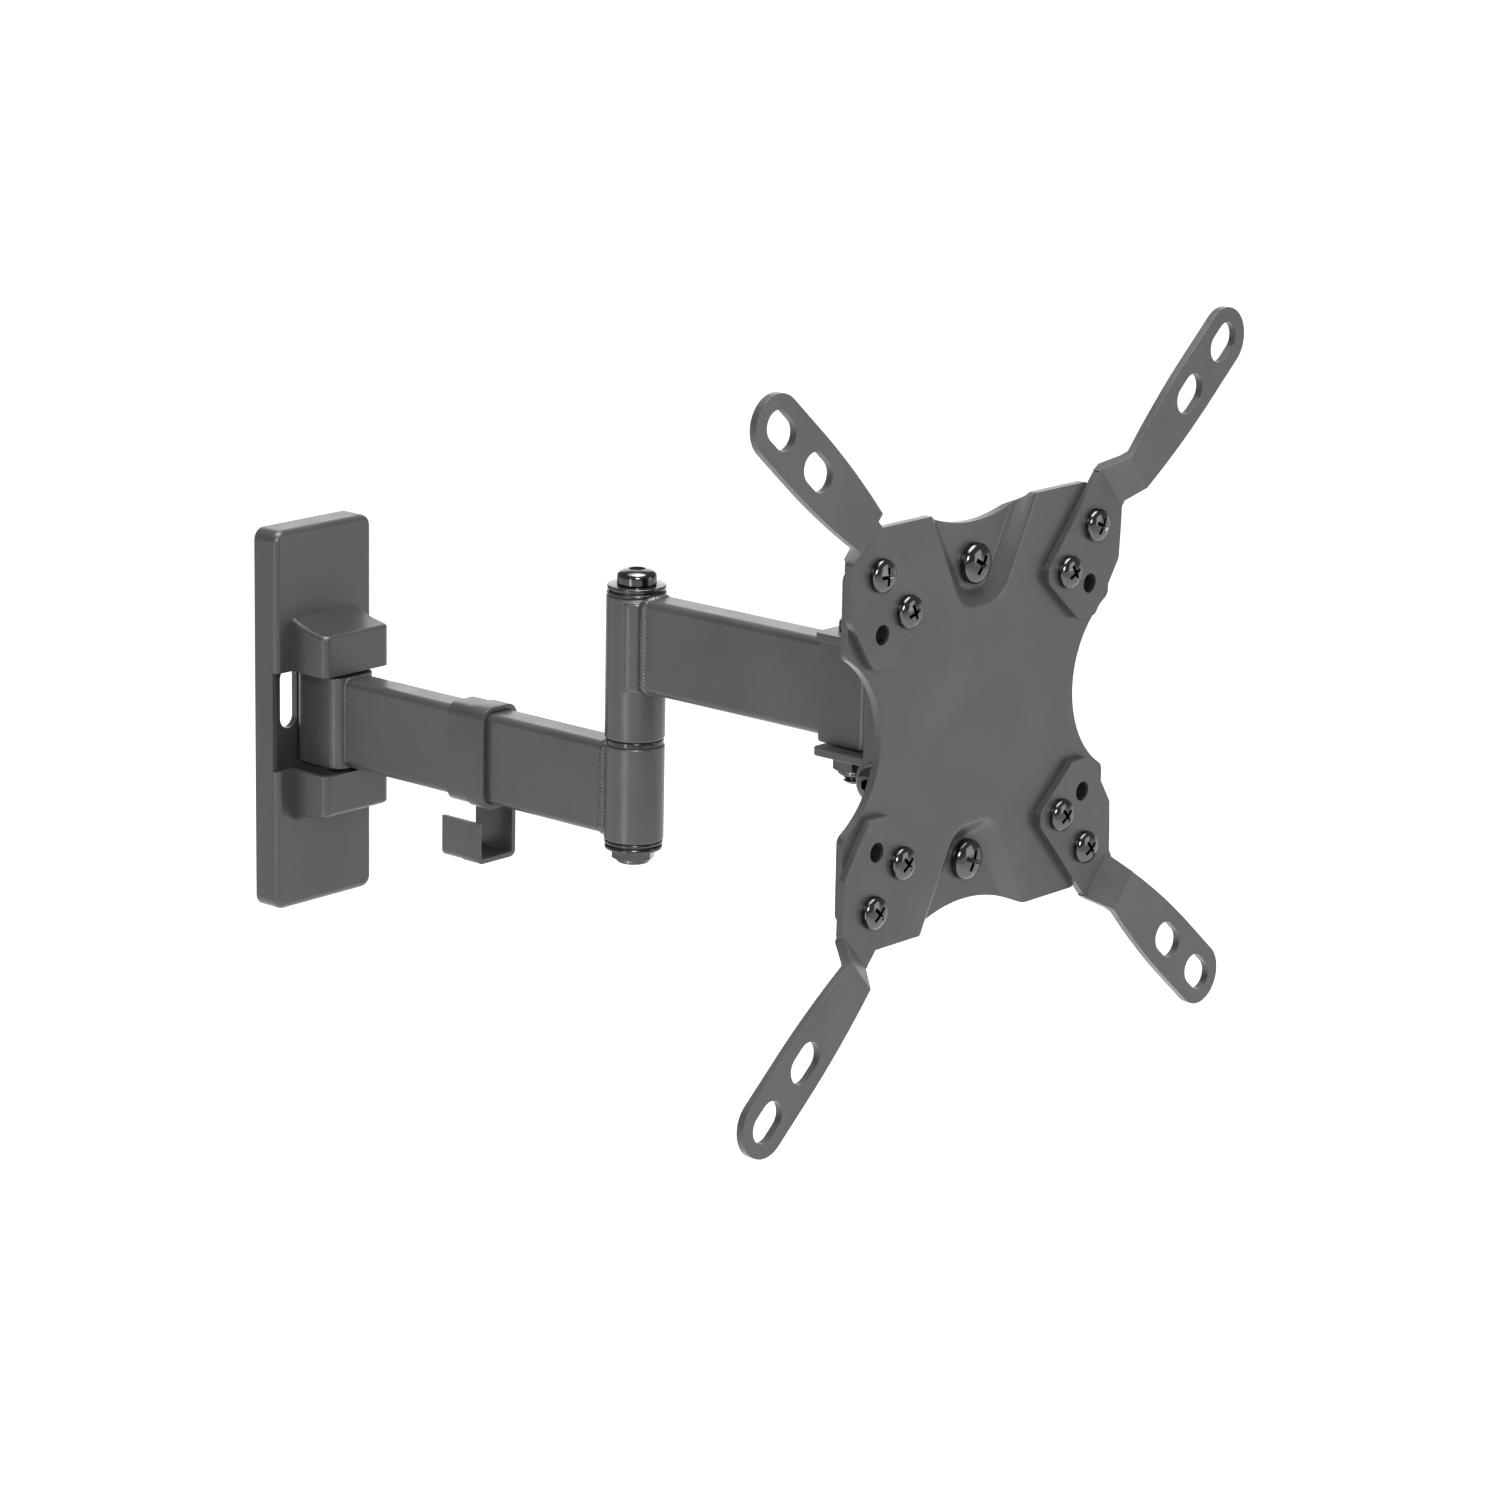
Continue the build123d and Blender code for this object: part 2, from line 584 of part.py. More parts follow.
def adapter_outline():
    """Foot and arm of the top right adapter as one flat outline."""
    with BuildSketch(face) as outline:
        with BuildLine():
            FilletPolyline(
                arm_point(foot_end, 8),
                Vector(28.3, 39.5),
                Vector(28.3, 35.5),
                Vector(43.5, 22),
                Vector(51.5, 22),
                Vector(56, 28),
                Vector(62.5, 38),
                Vector(63, 47),
                arm_point(foot_end, -8),
                radius=2.5,
                close=True,
            )
        make_face()
        with BuildLine():
            left = Line(arm_point(foot_end - 2, 8), arm_point(foot_end + 6, 6.8))
            swell = Spline(left @ 1, arm_point(foot_end + 22, 8.6), arm_point(arm_end - 20, ARM_R))
            end = Line(swell @ 1, arm_point(arm_end, ARM_R))
            ThreePointArc(end @ 1, arm_point(arm_end + ARM_R, 0), arm_point(arm_end, -ARM_R))
            back = Line(arm_point(arm_end, -ARM_R), arm_point(arm_end - 20, -ARM_R))
            Spline(back @ 1, arm_point(foot_end + 22, -8.6), arm_point(foot_end + 6, -6.8))
            Line(arm_point(foot_end + 6, -6.8), arm_point(foot_end - 2, -8))
            Line(arm_point(foot_end - 2, -8), left @ 0)
        make_face()
        with Locations(*SLOTS):
            SlotOverall(SLOT[0], SLOT[1], rotation=ARM_TURN, mode=Mode.SUBTRACT)
        with Locations((SCREW_PITCH[0] / 2, SCREW_PITCH[0] / 2), (SCREW_PITCH[1] / 2, SCREW_PITCH[1] / 2)):
            Circle(2.6, mode=Mode.SUBTRACT)
        with Locations(OPEN_HOLE):
            Circle(3, mode=Mode.SUBTRACT)
    return outline


step_t = ADAPTER_T * 0.42  # keeps the sheet's thickness through the sloping step
with BuildPart() as adapter:
    extrude(adapter_outline().sketch, amount=ADAPTER_STEP + ADAPTER_T)
    with BuildSketch(side_view):
        with BuildLine():
            Polyline(
                (0, 0),
                (foot_end + step_t, 0),
                (arm_start + step_t, -ADAPTER_STEP),
                (arm_end + 20, -ADAPTER_STEP),
                (arm_end + 20, -ADAPTER_STEP - ADAPTER_T),
                (arm_start - step_t, -ADAPTER_STEP - ADAPTER_T),
                (foot_end - step_t, -ADAPTER_T),
                (0, -ADAPTER_T),
                close=True,
            )
        make_face()
    extrude(amount=60, both=True, mode=Mode.INTERSECT)

for name, mirrors in (
    ("adapter_top_right", ()),
    ("adapter_top_left", (Plane.YZ,)),
    ("adapter_bottom_right", (Plane.XY.offset(PLATE_Z),)),
    ("adapter_bottom_left", (Plane.YZ, Plane.XY.offset(PLATE_Z))),
):
    placed = adapter.part
    for about in mirrors:
        placed = mirror(placed, about=about)
    placed.label = name
    export_step(placed, f"parts/{name}.step")

# screws: two into each adapter, and one at the top and one at the bottom of the tilt bracket
corners = [
    (x * pitch / 2, z * pitch / 2) for pitch in SCREW_PITCH for x in (-1, 1) for z in (-1, 1)
]
save(
    pan_screws(corners, face.offset(ADAPTER_T), M5_HEAD, 2.5, ADAPTER_T + PLATE_T + 1.5),
    "adapter_screws",
)
centres = [(0, -M6_Z), (0, M6_Z)]
save(
    pan_screws(centres, face.offset(-RECESS), M6_HEAD, 3, PLATE_T + 2.5 + 6),
    "centre_screws",
)
for name, z in (("centre_nut_upper", PLATE_Z + M6_Z), ("centre_nut_lower", PLATE_Z - M6_Z)):
    back = Plane(origin=(0, -bracket_front + 2.5, z), x_dir=(1, 0, 0), z_dir=(0, 1, 0))
    save(hex_nut(back, 10, 5, 3), name)
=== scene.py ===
# %% [markdown]
# # A full motion TV wall mount
# The real object is steel tube and pressed sheet in a dark grey powder coat, with moulded
# plastic covers, glossy nylon bushes and black nickel screws. The CAD model gives every piece
# its place and size. This lesson gives each piece its soft edges, its small parts and its
# finish, and then lights it like a product on a pale sweep.

# %% Load the frame
import json
import math

import bmesh
import bpy
from mathutils import Matrix, Vector


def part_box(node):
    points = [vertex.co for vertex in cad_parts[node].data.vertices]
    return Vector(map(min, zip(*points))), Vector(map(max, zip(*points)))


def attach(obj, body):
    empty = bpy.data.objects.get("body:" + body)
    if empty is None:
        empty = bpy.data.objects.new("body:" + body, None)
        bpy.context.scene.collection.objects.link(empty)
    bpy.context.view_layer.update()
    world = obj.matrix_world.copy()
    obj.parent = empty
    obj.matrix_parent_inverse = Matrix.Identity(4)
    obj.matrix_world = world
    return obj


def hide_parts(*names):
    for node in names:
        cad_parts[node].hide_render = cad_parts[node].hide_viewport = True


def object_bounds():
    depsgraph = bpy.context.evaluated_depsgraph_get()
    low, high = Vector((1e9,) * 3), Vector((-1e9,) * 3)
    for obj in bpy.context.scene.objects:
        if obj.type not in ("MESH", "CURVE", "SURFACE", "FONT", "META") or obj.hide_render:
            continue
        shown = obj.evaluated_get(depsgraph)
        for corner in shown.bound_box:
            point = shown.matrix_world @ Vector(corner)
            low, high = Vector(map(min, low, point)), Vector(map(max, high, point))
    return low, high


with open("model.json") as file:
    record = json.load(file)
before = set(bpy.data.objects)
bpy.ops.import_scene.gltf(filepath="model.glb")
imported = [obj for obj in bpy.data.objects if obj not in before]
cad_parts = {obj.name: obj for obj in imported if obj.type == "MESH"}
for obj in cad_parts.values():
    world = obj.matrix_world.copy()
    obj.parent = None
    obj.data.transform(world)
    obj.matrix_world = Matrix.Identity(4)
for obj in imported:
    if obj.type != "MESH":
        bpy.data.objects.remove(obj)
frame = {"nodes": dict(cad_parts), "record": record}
cad_low, cad_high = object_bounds()
nodes = frame["nodes"]
body_of_node = {
    node: body
    for body, names in frame["record"]["behaviour"]["bodies"].items()
    for node in names
}
slot_of_node = {part["node"]: part["material_slot"] for part in frame["record"]["subparts"]}
MM = 0.001
print("nodes", len(nodes), "box in mm", [round((b - a) / MM, 1) for a, b in zip(cad_low, cad_high)])

# %% [markdown]
# ## Helpers for materials
# Paint makers give colours as sRGB hex values, and a shader works in linear light, so one
# function turns the first into the second. Another adds a node with its settings and links.
# Every pattern reads Object coordinates, which are metres here, so a pattern's scale is worked
# out from the size of the real grain.


# %% Colour and node helpers
def linear(hex_code):
    """Linear RGBA from an sRGB hex code such as 4A4A4C."""
    parts = [int(hex_code[i : i + 2], 16) / 255 for i in (0, 2, 4)]
    return tuple(c / 12.92 if c <= 0.04045 else ((c + 0.055) / 1.055) ** 2.4 for c in parts) + (1.0,)


def add_node(tree, kind, settings=None, inputs=None):
    """Adds a node; an input is a plain value, or an output socket to link from."""
    node = tree.nodes.new(kind)
    for name, value in (settings or {}).items():
        setattr(node, name, value)
    for name, value in (inputs or {}).items():
        if isinstance(value, bpy.types.NodeSocket):
            tree.links.new(value, node.inputs[name])
        else:
            node.inputs[name].default_value = value
    return node


def grain_scale(size_mm):
    """Texture scale that makes features of about this size on Object coordinates in metres."""
    return 1000.0 / size_mm


def new_surface(name, base, metallic, roughness):
    """A material with its shader, its output and Object coordinates; returns all four."""
    material = bpy.data.materials.new(name)
    material.use_nodes = True
    tree = material.node_tree
    tree.nodes.clear()
    where = add_node(tree, "ShaderNodeTexCoord").outputs["Object"]
    shader = add_node(
        tree,
        "ShaderNodeBsdfPrincipled",
        inputs={"Base Color": linear(base), "Metallic": metallic, "Roughness": roughness},
    )
    add_node(tree, "ShaderNodeOutputMaterial", inputs={"Surface": shader.outputs["BSDF"]})
    return material, tree, shader, where


def noise_at(tree, where, size_mm, detail):
    """Noise with grains of the given size, from 0 to 1."""
    inputs = {"Vector": where, "Scale": grain_scale(size_mm), "Detail": detail}
    return add_node(tree, "ShaderNodeTexNoise", inputs=inputs).outputs["Fac"]


def mottle(tree, where, size_mm, dark, light):
    """Slow colour drift between two hex colours, in patches of the given size."""
    ramp = add_node(tree, "ShaderNodeValToRGB", inputs={"Fac": noise_at(tree, where, size_mm, 2.0)})
    ramp.color_ramp.elements[0].position = 0.32
    ramp.color_ramp.elements[0].color = linear(dark)
    ramp.color_ramp.elements[1].position = 0.68
    ramp.color_ramp.elements[1].color = linear(light)
    return ramp.outputs["Color"]


def vary(tree, where, size_mm, low, high):
    """Roughness that wanders between two values in patches of the given size."""
    noise = noise_at(tree, where, size_mm, 3.0)
    inputs = {"Value": noise, "From Min": 0.3, "From Max": 0.7, "To Min": low, "To Max": high}
    return add_node(tree, "ShaderNodeMapRange", inputs=inputs).outputs["Result"]


def relief(tree, height, depth_mm, strength, below=None):
    """Bump of the given depth, laid on top of another bump if there is one."""
    inputs = {"Height": height, "Distance": depth_mm * MM, "Strength": strength}
    if below is not None:
        inputs["Normal"] = below
    return add_node(tree, "ShaderNodeBump", inputs=inputs).outputs["Normal"]


# %% [markdown]
# ## Powder-coated steel
# The tubes, plates and brackets are sprayed with polyester powder and baked at about 190
# degrees. The film is a tenth of a millimetre thick and flows a little as it melts, which leaves
# a satin sheen, soft waves about 2 mm wide (orange peel) and a fine grain from the flakes of
# metal in it. A little metallic in the shader gives the flakes' grey sheen.


# %% Powder coat
def powder_coat():
    """Dark grey satin polyester powder coat with a fine metal flake."""
    material, tree, shader, where = new_surface("polyester_powder_coat_dark_grey", "3E3E3F", 0.45, 0.34)
    tree.links.new(mottle(tree, where, 22.0, "3C3C3D", "414142"), shader.inputs["Base Color"])
    tree.links.new(vary(tree, where, 9.0, 0.31, 0.38), shader.inputs["Roughness"])
    peel = noise_at(tree, where, 2.2, 1.0)
    waves = relief(tree, peel, 0.05, 0.35)
    # the powder's grain is about 0.1 mm, drawn at 0.5 mm so that it shows
    grain = noise_at(tree, where, 0.5, 2.0)
    tree.links.new(relief(tree, grain, 0.02, 0.3, waves), shader.inputs["Normal"])
    return material


coat = powder_coat()
print("material", coat.name)

# %% [markdown]
# ## Moulded plastic
# The wall cover and the cable clip are injection-moulded ABS, a darker grey with no metal in
# it. The mould is spark eroded, which leaves an even, fine leathery texture in the surface.


# %% Moulded ABS
def moulded_abs():
    """Dark grey ABS from a spark-eroded mould."""
    material, tree, shader, where = new_surface("moulded_abs_dark_grey", "2A2A2B", 0.0, 0.36)
    tree.links.new(mottle(tree, where, 30.0, "28282A", "2C2C2D"), shader.inputs["Base Color"])
    tree.links.new(vary(tree, where, 6.0, 0.33, 0.4), shader.inputs["Roughness"])
    # the sparks leave pits of about 0.2 mm, drawn at 0.6 mm so that they show
    pits = add_node(
        tree,
        "ShaderNodeTexVoronoi",
        settings={"feature": "SMOOTH_F1"},
        inputs={"Vector": where, "Scale": grain_scale(0.6), "Smoothness": 0.6},
    )
    tree.links.new(relief(tree, pits.outputs["Distance"], 0.03, 0.3), shader.inputs["Normal"])
    return material


plastic = moulded_abs()
print("material", plastic.name)

# %% [markdown]
# ## Nylon and black nickel
# The bushes and the elbow's spacer are black nylon, polished by the mould and oily smooth. The
# screws, bolts and nuts are steel with black nickel plating over a bright dip, so they mirror
# the lights sharply, with a faint unevenness.


# %% Nylon
def black_nylon():
    """Glossy black moulded nylon with faint flow marks."""
    material, tree, shader, where = new_surface("moulded_nylon_black", "141415", 0.0, 0.18)
    flow = noise_at(tree, where, 3.0, 2.0)
    tree.links.new(vary(tree, where, 4.0, 0.14, 0.24), shader.inputs["Roughness"])
    tree.links.new(relief(tree, flow, 0.08, 0.35), shader.inputs["Normal"])
    return material


nylon = black_nylon()
print("material", nylon.name)


# %% Black nickel
def black_nickel():
    """Black nickel plating on bright steel: a dark mirror."""
    material, tree, shader, where = new_surface("black_nickel_plating", "4E4E50", 1.0, 0.14)
    tree.links.new(vary(tree, where, 2.5, 0.1, 0.18), shader.inputs["Roughness"])
    # the plating's fine unevenness, about 1 mm across
    dip = noise_at(tree, where, 1.2, 1.0)
    tree.links.new(relief(tree, dip, 0.03, 0.25), shader.inputs["Normal"])
    return material


nickel = black_nickel()
finish_of_slot = {
    "powder_coat": coat,
    "moulded_plastic": plastic,
    "nylon_bush": nylon,
    "black_nickel": nickel,
}
print("material", nickel.name)

# %% [markdown]
# ## Soft edges
# No real edge is perfectly sharp: sheet steel is tumbled after it is cut, paint rounds what is
# left, and moulds have small radii. A CAD mesh comes as sharp triangles, so each piece is
# copied, its flat faces are joined, and a Bevel modifier rounds every edge by a width that
# suits how the piece was made. A copy is used, so that the CAD piece itself stays as it is.


# %% Rounding a CAD piece
def add_piece(name, mesh, body, material):
    """Puts a finished mesh in the scene, riding on its body and wearing its finish."""
    piece = bpy.data.objects.new(name, mesh)
    bpy.context.collection.objects.link(piece)
    mesh.materials.clear()
    mesh.materials.append(material)
    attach(piece, body)
    return piece


EDGE_ANGLE, BEND_ANGLE, SQUARE_ANGLE = 32, 20, 70  # degrees between the faces beside an edge


def softened(node, width_mm, bend_mm=None, segments=3):
    """A copy of a CAD piece with rounded edges, which stands for that piece.

    Where the sheet is bent or pressed, its shallow edges get the wider radius bend_mm.
    """
    mesh = nodes[node].data.copy()
    work = bmesh.new()
    work.from_mesh(mesh)
    bmesh.ops.remove_doubles(work, verts=work.verts, dist=0.002 * MM)
    bmesh.ops.dissolve_limit(
        work, angle_limit=math.radians(1.0), verts=work.verts, edges=work.edges, delimit=set()
    )
    widest = bend_mm or width_mm
    weights = work.edges.layers.float.new("bevel_weight_edge")
    for edge in work.edges:
        angle = math.degrees(edge.calc_face_angle(0.0))
        if angle > EDGE_ANGLE or (bend_mm and angle > BEND_ANGLE):
            edge[weights] = 1.0 if bend_mm and angle < SQUARE_ANGLE else width_mm / widest
    for face in work.faces:
        face.smooth = True
    work.to_mesh(mesh)
    work.free()
    slot = slot_of_node[node]
    piece = add_piece(node + "_finished", mesh, body_of_node[node], finish_of_slot[slot])
    bevel = piece.modifiers.new("soft edges", "BEVEL")
    bevel.width = widest * MM
    bevel.segments = segments
    bevel.limit_method = "WEIGHT"
    bevel.miter_outer = "MITER_ARC"
    weigh = piece.modifiers.new("flat faces stay flat", "WEIGHTED_NORMAL")
    weigh.keep_sharp = True
    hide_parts(node)
    return piece


# %% Edge widths by how each piece is made
edge_widths = {
    "wall_plate": 0.4,
    "pivot_ear_upper": 0.4,
    "pivot_ear_lower": 0.4,
    "wall_cover": 0.35,
    "wall_pivot_bolt": 0.3,
    "pivot_block": 0.9,
    "wall_bush_upper": 0.15,
    "wall_bush_lower": 0.15,
    "inner_tube": 0.3,
    "inner_sleeve": 0.3,
    "elbow_spacer": 0.4,
    "outer_sleeve": 0.3,
    "outer_tube": 0.3,
    "head_block": 0.5,
    "head_washer_upper": 0.1,
    "head_washer_lower": 0.1,
    "swivel_yoke": 0.6,
    "swivel_washer": 0.25,
    "tilt_bracket": 0.6,
    "tilt_washer_left": 0.25,
    "tilt_washer_right": 0.25,
}
pressed_sheets = ["vesa_plate"]
pressed_sheets += [f"adapter_{row}_{side}" for row in ("top", "bottom") for side in ("left", "right")]
for node, width in edge_widths.items():
    softened(node, width)
for node in pressed_sheets:
    softened(node, 0.5, 1.5, segments=4)
print("softened", len(edge_widths) + len(pressed_sheets), "pieces")

# %% [markdown]
# ## Screws and bolts
# A screw is turned and rolled: a head with a crowned edge, a driver recess pressed into it, and
# a thread whose ridge climbs one pitch for each turn. The body is built as rings of points
# round an axis, with the ridge worked out from the angle. The last rings follow the outline of
# the recess and go down into the head. Every screw is made at the origin, along +Z, head up.


# %% Rings of points round an axis
def mesh_from(work, name):
    """A mesh from finished bmesh work, which is freed."""
    mesh = bpy.data.meshes.new(name)
    work.to_mesh(mesh)
    work.free()
    return mesh


def turned(name, rings, angles, tip=None, hollow=False):
    """A closed turned mesh from rings of (height, radius).

    It ends in a flat or a tip, or if it is hollow, its last ring meets its first. A radius may
    be a function of the angle, and a height a function of the radius there.
    """
    work = bmesh.new()
    loops = []
    for height, radius in rings:
        loop = []
        for turn in angles:
            r = radius(turn) if callable(radius) else radius
            z = height(r) if callable(height) else height
            loop.append(work.verts.new((r * math.cos(turn), r * math.sin(turn), z)))
        loops.append(loop)
    count = len(angles)
    for low, high in zip(loops, loops[1:] + loops[:1] if hollow else loops[1:]):
        for i in range(count):
            j = (i + 1) % count
            work.faces.new((low[i], low[j], high[j], high[i]))
    if not hollow:
        work.faces.new(list(reversed(loops[0])))
    if tip is None and not hollow:
        work.faces.new(loops[-1])
    elif tip is not None:
        point = work.verts.new((0, 0, tip))
        for i in range(count):
            work.faces.new((loops[-1][i], loops[-1][(i + 1) % count], point))
    bmesh.ops.recalc_face_normals(work, faces=work.faces)
    return mesh_from(work, name)


def even_angles(count):
    """Angles spread evenly round a circle."""
    return [2 * math.pi * i / count for i in range(count)]


def thread_rings(bottom, top, radius, pitch):
    """Rings of a rolled thread: a rounded ridge that climbs one pitch a turn."""
    depth = 0.6 * pitch
    chamfer = 0.12 * MM
    count = max(2, math.ceil((top - bottom) / (pitch / 8)))
    rings = [(bottom, radius - 1.3 * depth)]
    for k in range(count + 1):
        height = bottom + chamfer + (top - bottom - chamfer) * k / count

        def ridge(turn, height=height):
            phase = (height / pitch - turn / (2 * math.pi)) % 1.0
            lead = min(1.0, (height - bottom) / pitch + 0.35)
            return radius - depth + depth * lead * (1 - abs(2 * phase - 1)) ** 1.2

        rings.append((height, ridge))
    return rings


# %% Driver recesses
def cross_outline(reach, half):
    """Outline of a cross recess as a radius for each angle, and the angles that draw it."""
    corner = math.atan(half / reach)

    def radius(turn):
        off_blade = abs((turn + math.pi / 4) % (math.pi / 2) - math.pi / 4)
        if off_blade <= corner + 1e-6:
            return reach / math.cos(off_blade)
        return half / math.sin(off_blade)

    angles = []
    for quarter in range(4):
        start = quarter * math.pi / 2
        side = [corner + (math.pi / 4 - corner) * k / 4 for k in range(5)]
        angles += [start, start + corner / 2] + [start + turn for turn in side]
        angles += [start + math.pi / 2 - turn for turn in reversed(side[:-1])]
        angles.append(start + math.pi / 2 - corner / 2)
    return radius, angles


def hexagon_outline(across):
    """Outline of a hexagon socket as a radius for each angle, and the angles that draw it."""
    sixth = math.pi / 3
    return lambda turn: across / 2 / math.cos(turn % sixth - sixth / 2), even_angles(48)


def screw_mesh(name, head, shank, pitch, recess, side=0.36, crown=2.4):
    """A screw or bolt along +Z, its head's underside at height 0.

    side is the share of the head's height that is straight, crown how square its dome is.
    """
    head_r, head_h = head
    shank_r, shank_l = shank
    kind, size = recess
    outline, angles = cross_outline(size, 0.2 * size) if kind == "cross" else hexagon_outline(size)
    rim_r = size if kind == "cross" else size * 0.58

    def dome(r):
        return head_h * (side + (1 - side) * math.sqrt(max(0.0, 1 - (r / head_r) ** crown)))

    threaded = min(shank_l - 0.2 * MM, 16 * MM)
    rings = thread_rings(-shank_l, -shank_l + threaded, shank_r, pitch)
    rings += [(-shank_l + threaded + 0.1 * MM, shank_r), (-0.02 * MM, shank_r), (0.0, head_r * 0.93)]
    rings += [(head_h * 0.07, head_r), (head_h * side * 0.9, head_r)]
    steps = 10
    for k in range(1, steps):
        r = head_r * math.cos(math.pi / 2 * k / steps)
        if r > rim_r * 1.08:
            rings.append((dome(r), r))
    top = dome(rim_r)
    depth = head_h * 0.6
    rings.append((dome(rim_r * 1.06), rim_r * 1.06))
    rings.append((dome, outline))
    rings.append((top - 0.15 * MM, lambda turn: outline(turn) * 0.95))
    if kind == "cross":
        rings.append((top - depth * 0.8, lambda turn: outline(turn) * 0.6))
        tip = top - depth * 1.25
    else:
        rings.append((top - depth, lambda turn: outline(turn) * 0.95))
        tip = top - depth * 1.1
    mesh = turned(name, rings, angles, tip)
    smooth_by_angle(mesh, 38)
    return mesh


def smooth_by_angle(mesh, degrees):
    """Smooth shading that breaks at edges sharper than this."""
    mesh.polygons.foreach_set("use_smooth", [True] * len(mesh.polygons))
    mesh.set_sharp_from_angle(angle=math.radians(degrees))


M5_HEAD, M6_HEAD = (5.0 * MM, 3.2 * MM), (6.2 * MM, 4.0 * MM)  # radius and height
m5 = screw_mesh("m5_pan_head", M5_HEAD, (2.5 * MM, 6.4 * MM), 0.8 * MM, ("cross", 2.75 * MM))
m6 = screw_mesh("m6_pan_head", M6_HEAD, (3.0 * MM, 10.9 * MM), 1.0 * MM, ("cross", 3.3 * MM))
print("M5 faces", len(m5.polygons), "M6 faces", len(m6.polygons))

# %% [markdown]
# ## Elbow bushes
# The two flanged bushes are moulded in nylon with a groove round the flange, where the mould
# parts, so that each reads as two stacked rings. The flange is one turned shape, with its bore
# hidden by the bolt and its barrel hidden in the sleeve.


# %% Grooved flanges
def bush_piece(node, up):
    """A grooved flange in the place of a CAD bush; its barrel goes the other way."""
    low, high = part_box(node)
    radius = (high[0] - low[0]) / 2
    flange, groove, edge = 3.0 * MM, 0.35 * MM, 0.3 * MM
    split = flange * 0.52
    barrel = high[2] - low[2] - flange
    rings = [(-barrel, 6.0 * MM), (0.0, 6.0 * MM), (0.0, radius - edge), (edge, radius)]
    rings += [(split - groove - edge, radius), (split - groove, radius - edge)]
    rings += [(split - groove, radius - 2.5 * edge), (split, radius - 2.5 * edge)]
    rings += [(split, radius - 1.5 * edge), (split + edge, radius - 0.4 * edge)]
    rings += [(flange - edge, radius - 0.4 * edge), (flange - 0.3 * edge, radius - 0.8 * edge)]
    rings += [(flange, radius - 1.8 * edge), (flange, 4.2 * MM)]
    mesh = turned(node + "_finished", rings, even_angles(96))
    smooth_by_angle(mesh, 50)
    seat = ((low[0] + high[0]) / 2, (low[1] + high[1]) / 2, high[2] - flange if up else low[2] + flange)
    set_on(mesh, (0, 0, 1 if up else -1), seat)
    piece = add_piece(node + "_finished", mesh, body_of_node[node], nylon)
    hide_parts(node)
    print(node, "flange radius in mm", round(radius / MM, 2))


def set_on(mesh, axis, seat):
    """Turns a +Z mesh to point along an axis and moves it to its seat, in its own vertices."""
    turn = Vector((0, 0, 1)).rotation_difference(Vector(axis)).to_matrix().to_4x4()
    mesh.transform(Matrix.Translation(Vector(seat)) @ turn)
    mesh.update()
    return mesh


bush_piece("elbow_bush_upper", True)
bush_piece("elbow_bush_lower", False)

# %% [markdown]
# ## Cable clip
# The clip is one moulding: a sleeve that slides on the tube, in two bands of which the outer is
# prouder, and a hook below. Both have the same section all along, so each is that section
# carried along a path: a closed one round the tube, and an open one down and round the hook.


# %% Carrying a section along a path
def carried(name, path, section, closed):
    """A mesh from a section of (y, out) carried along a path of (x, z, outward x, outward z)."""
    work = bmesh.new()
    loops = [
        [work.verts.new((x + ox * out, y, z + oz * out)) for y, out in section] for x, z, ox, oz in path
    ]
    pairs = list(zip(loops, loops[1:] + loops[:1])) if closed else list(zip(loops, loops[1:]))
    count = len(section)
    for one, two in pairs:
        for i in range(count):
            j = (i + 1) % count
            work.faces.new((one[i], one[j], two[j], two[i]))
    if not closed:
        work.faces.new(list(reversed(loops[0])))
        work.faces.new(loops[-1])
    bmesh.ops.recalc_face_normals(work, faces=work.faces)
    mesh = mesh_from(work, name)
    smooth_by_angle(mesh, 40)
    return mesh


def soft_section(corners, radius, steps=3):
    """A closed (y, out) section with each corner rounded."""
    section = []
    count = len(corners)
    for i, here in enumerate(corners):
        here = Vector(here)
        before, after = Vector(corners[i - 1]), Vector(corners[(i + 1) % count])
        start = here + (before - here).normalized() * radius
        end = here + (after - here).normalized() * radius
        for k in range(steps + 1):
            t = k / steps
            section.append(tuple(start * (1 - t) ** 2 + here * 2 * t * (1 - t) + end * t**2))
    return section


def rounded_path(corners, radius, closed, steps=6):
    """Path of (x, z, outward x, outward z) through corners, each rounded, outward on the left."""
    path = []
    count = len(corners)
    for i in range(count):
        here = Vector(corners[i])
        if not closed and i in (0, count - 1):
            other = Vector(corners[1 if i == 0 else i - 1])
            way = (other - here).normalized() * (1 if i == 0 else -1)
            path.append((here.x, here.y, -way.y, way.x))
            continue
        come = (here - Vector(corners[i - 1])).normalized()
        leave = (Vector(corners[(i + 1) % count]) - here).normalized()
        centre_of_turn = here - come * radius + leave * radius
        for k in range(steps + 1):
            turn = math.pi / 2 * k / steps
            out = -leave * math.cos(turn) + come * math.sin(turn)
            spot = centre_of_turn + out * radius
            path.append((spot.x, spot.y, out.x, out.y))
    return path


# %% The clip's band and hook
clip_low, clip_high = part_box("cable_clip")
tube_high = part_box("inner_tube")[1]
near, far = clip_high[1], clip_low[1]
step_y = near + (far - near) * 0.545
thin, thick, play = 1.2 * MM, 1.7 * MM, 0.2 * MM
low_band = [(near, play), (far, play)]
high_band = [(far, play + thick), (step_y, play + thick), (step_y, play + thin), (near, play + thin)]
band_section = soft_section(low_band + high_band, 0.16 * MM)
half_w, half_h = tube_high[0], tube_high[2]
band_corners = [(half_w, half_h), (half_w, -half_h), (-half_w, -half_h), (-half_w, half_h)]
band_path = rounded_path(band_corners, 2.5 * MM, True)
band = carried("cable_clip_band", band_path, band_section, True)
back_leg = half_w + play + 1.25 * MM
top_z = -half_h - 0.8 * MM
lip_z = clip_low[2] + 13.7 * MM
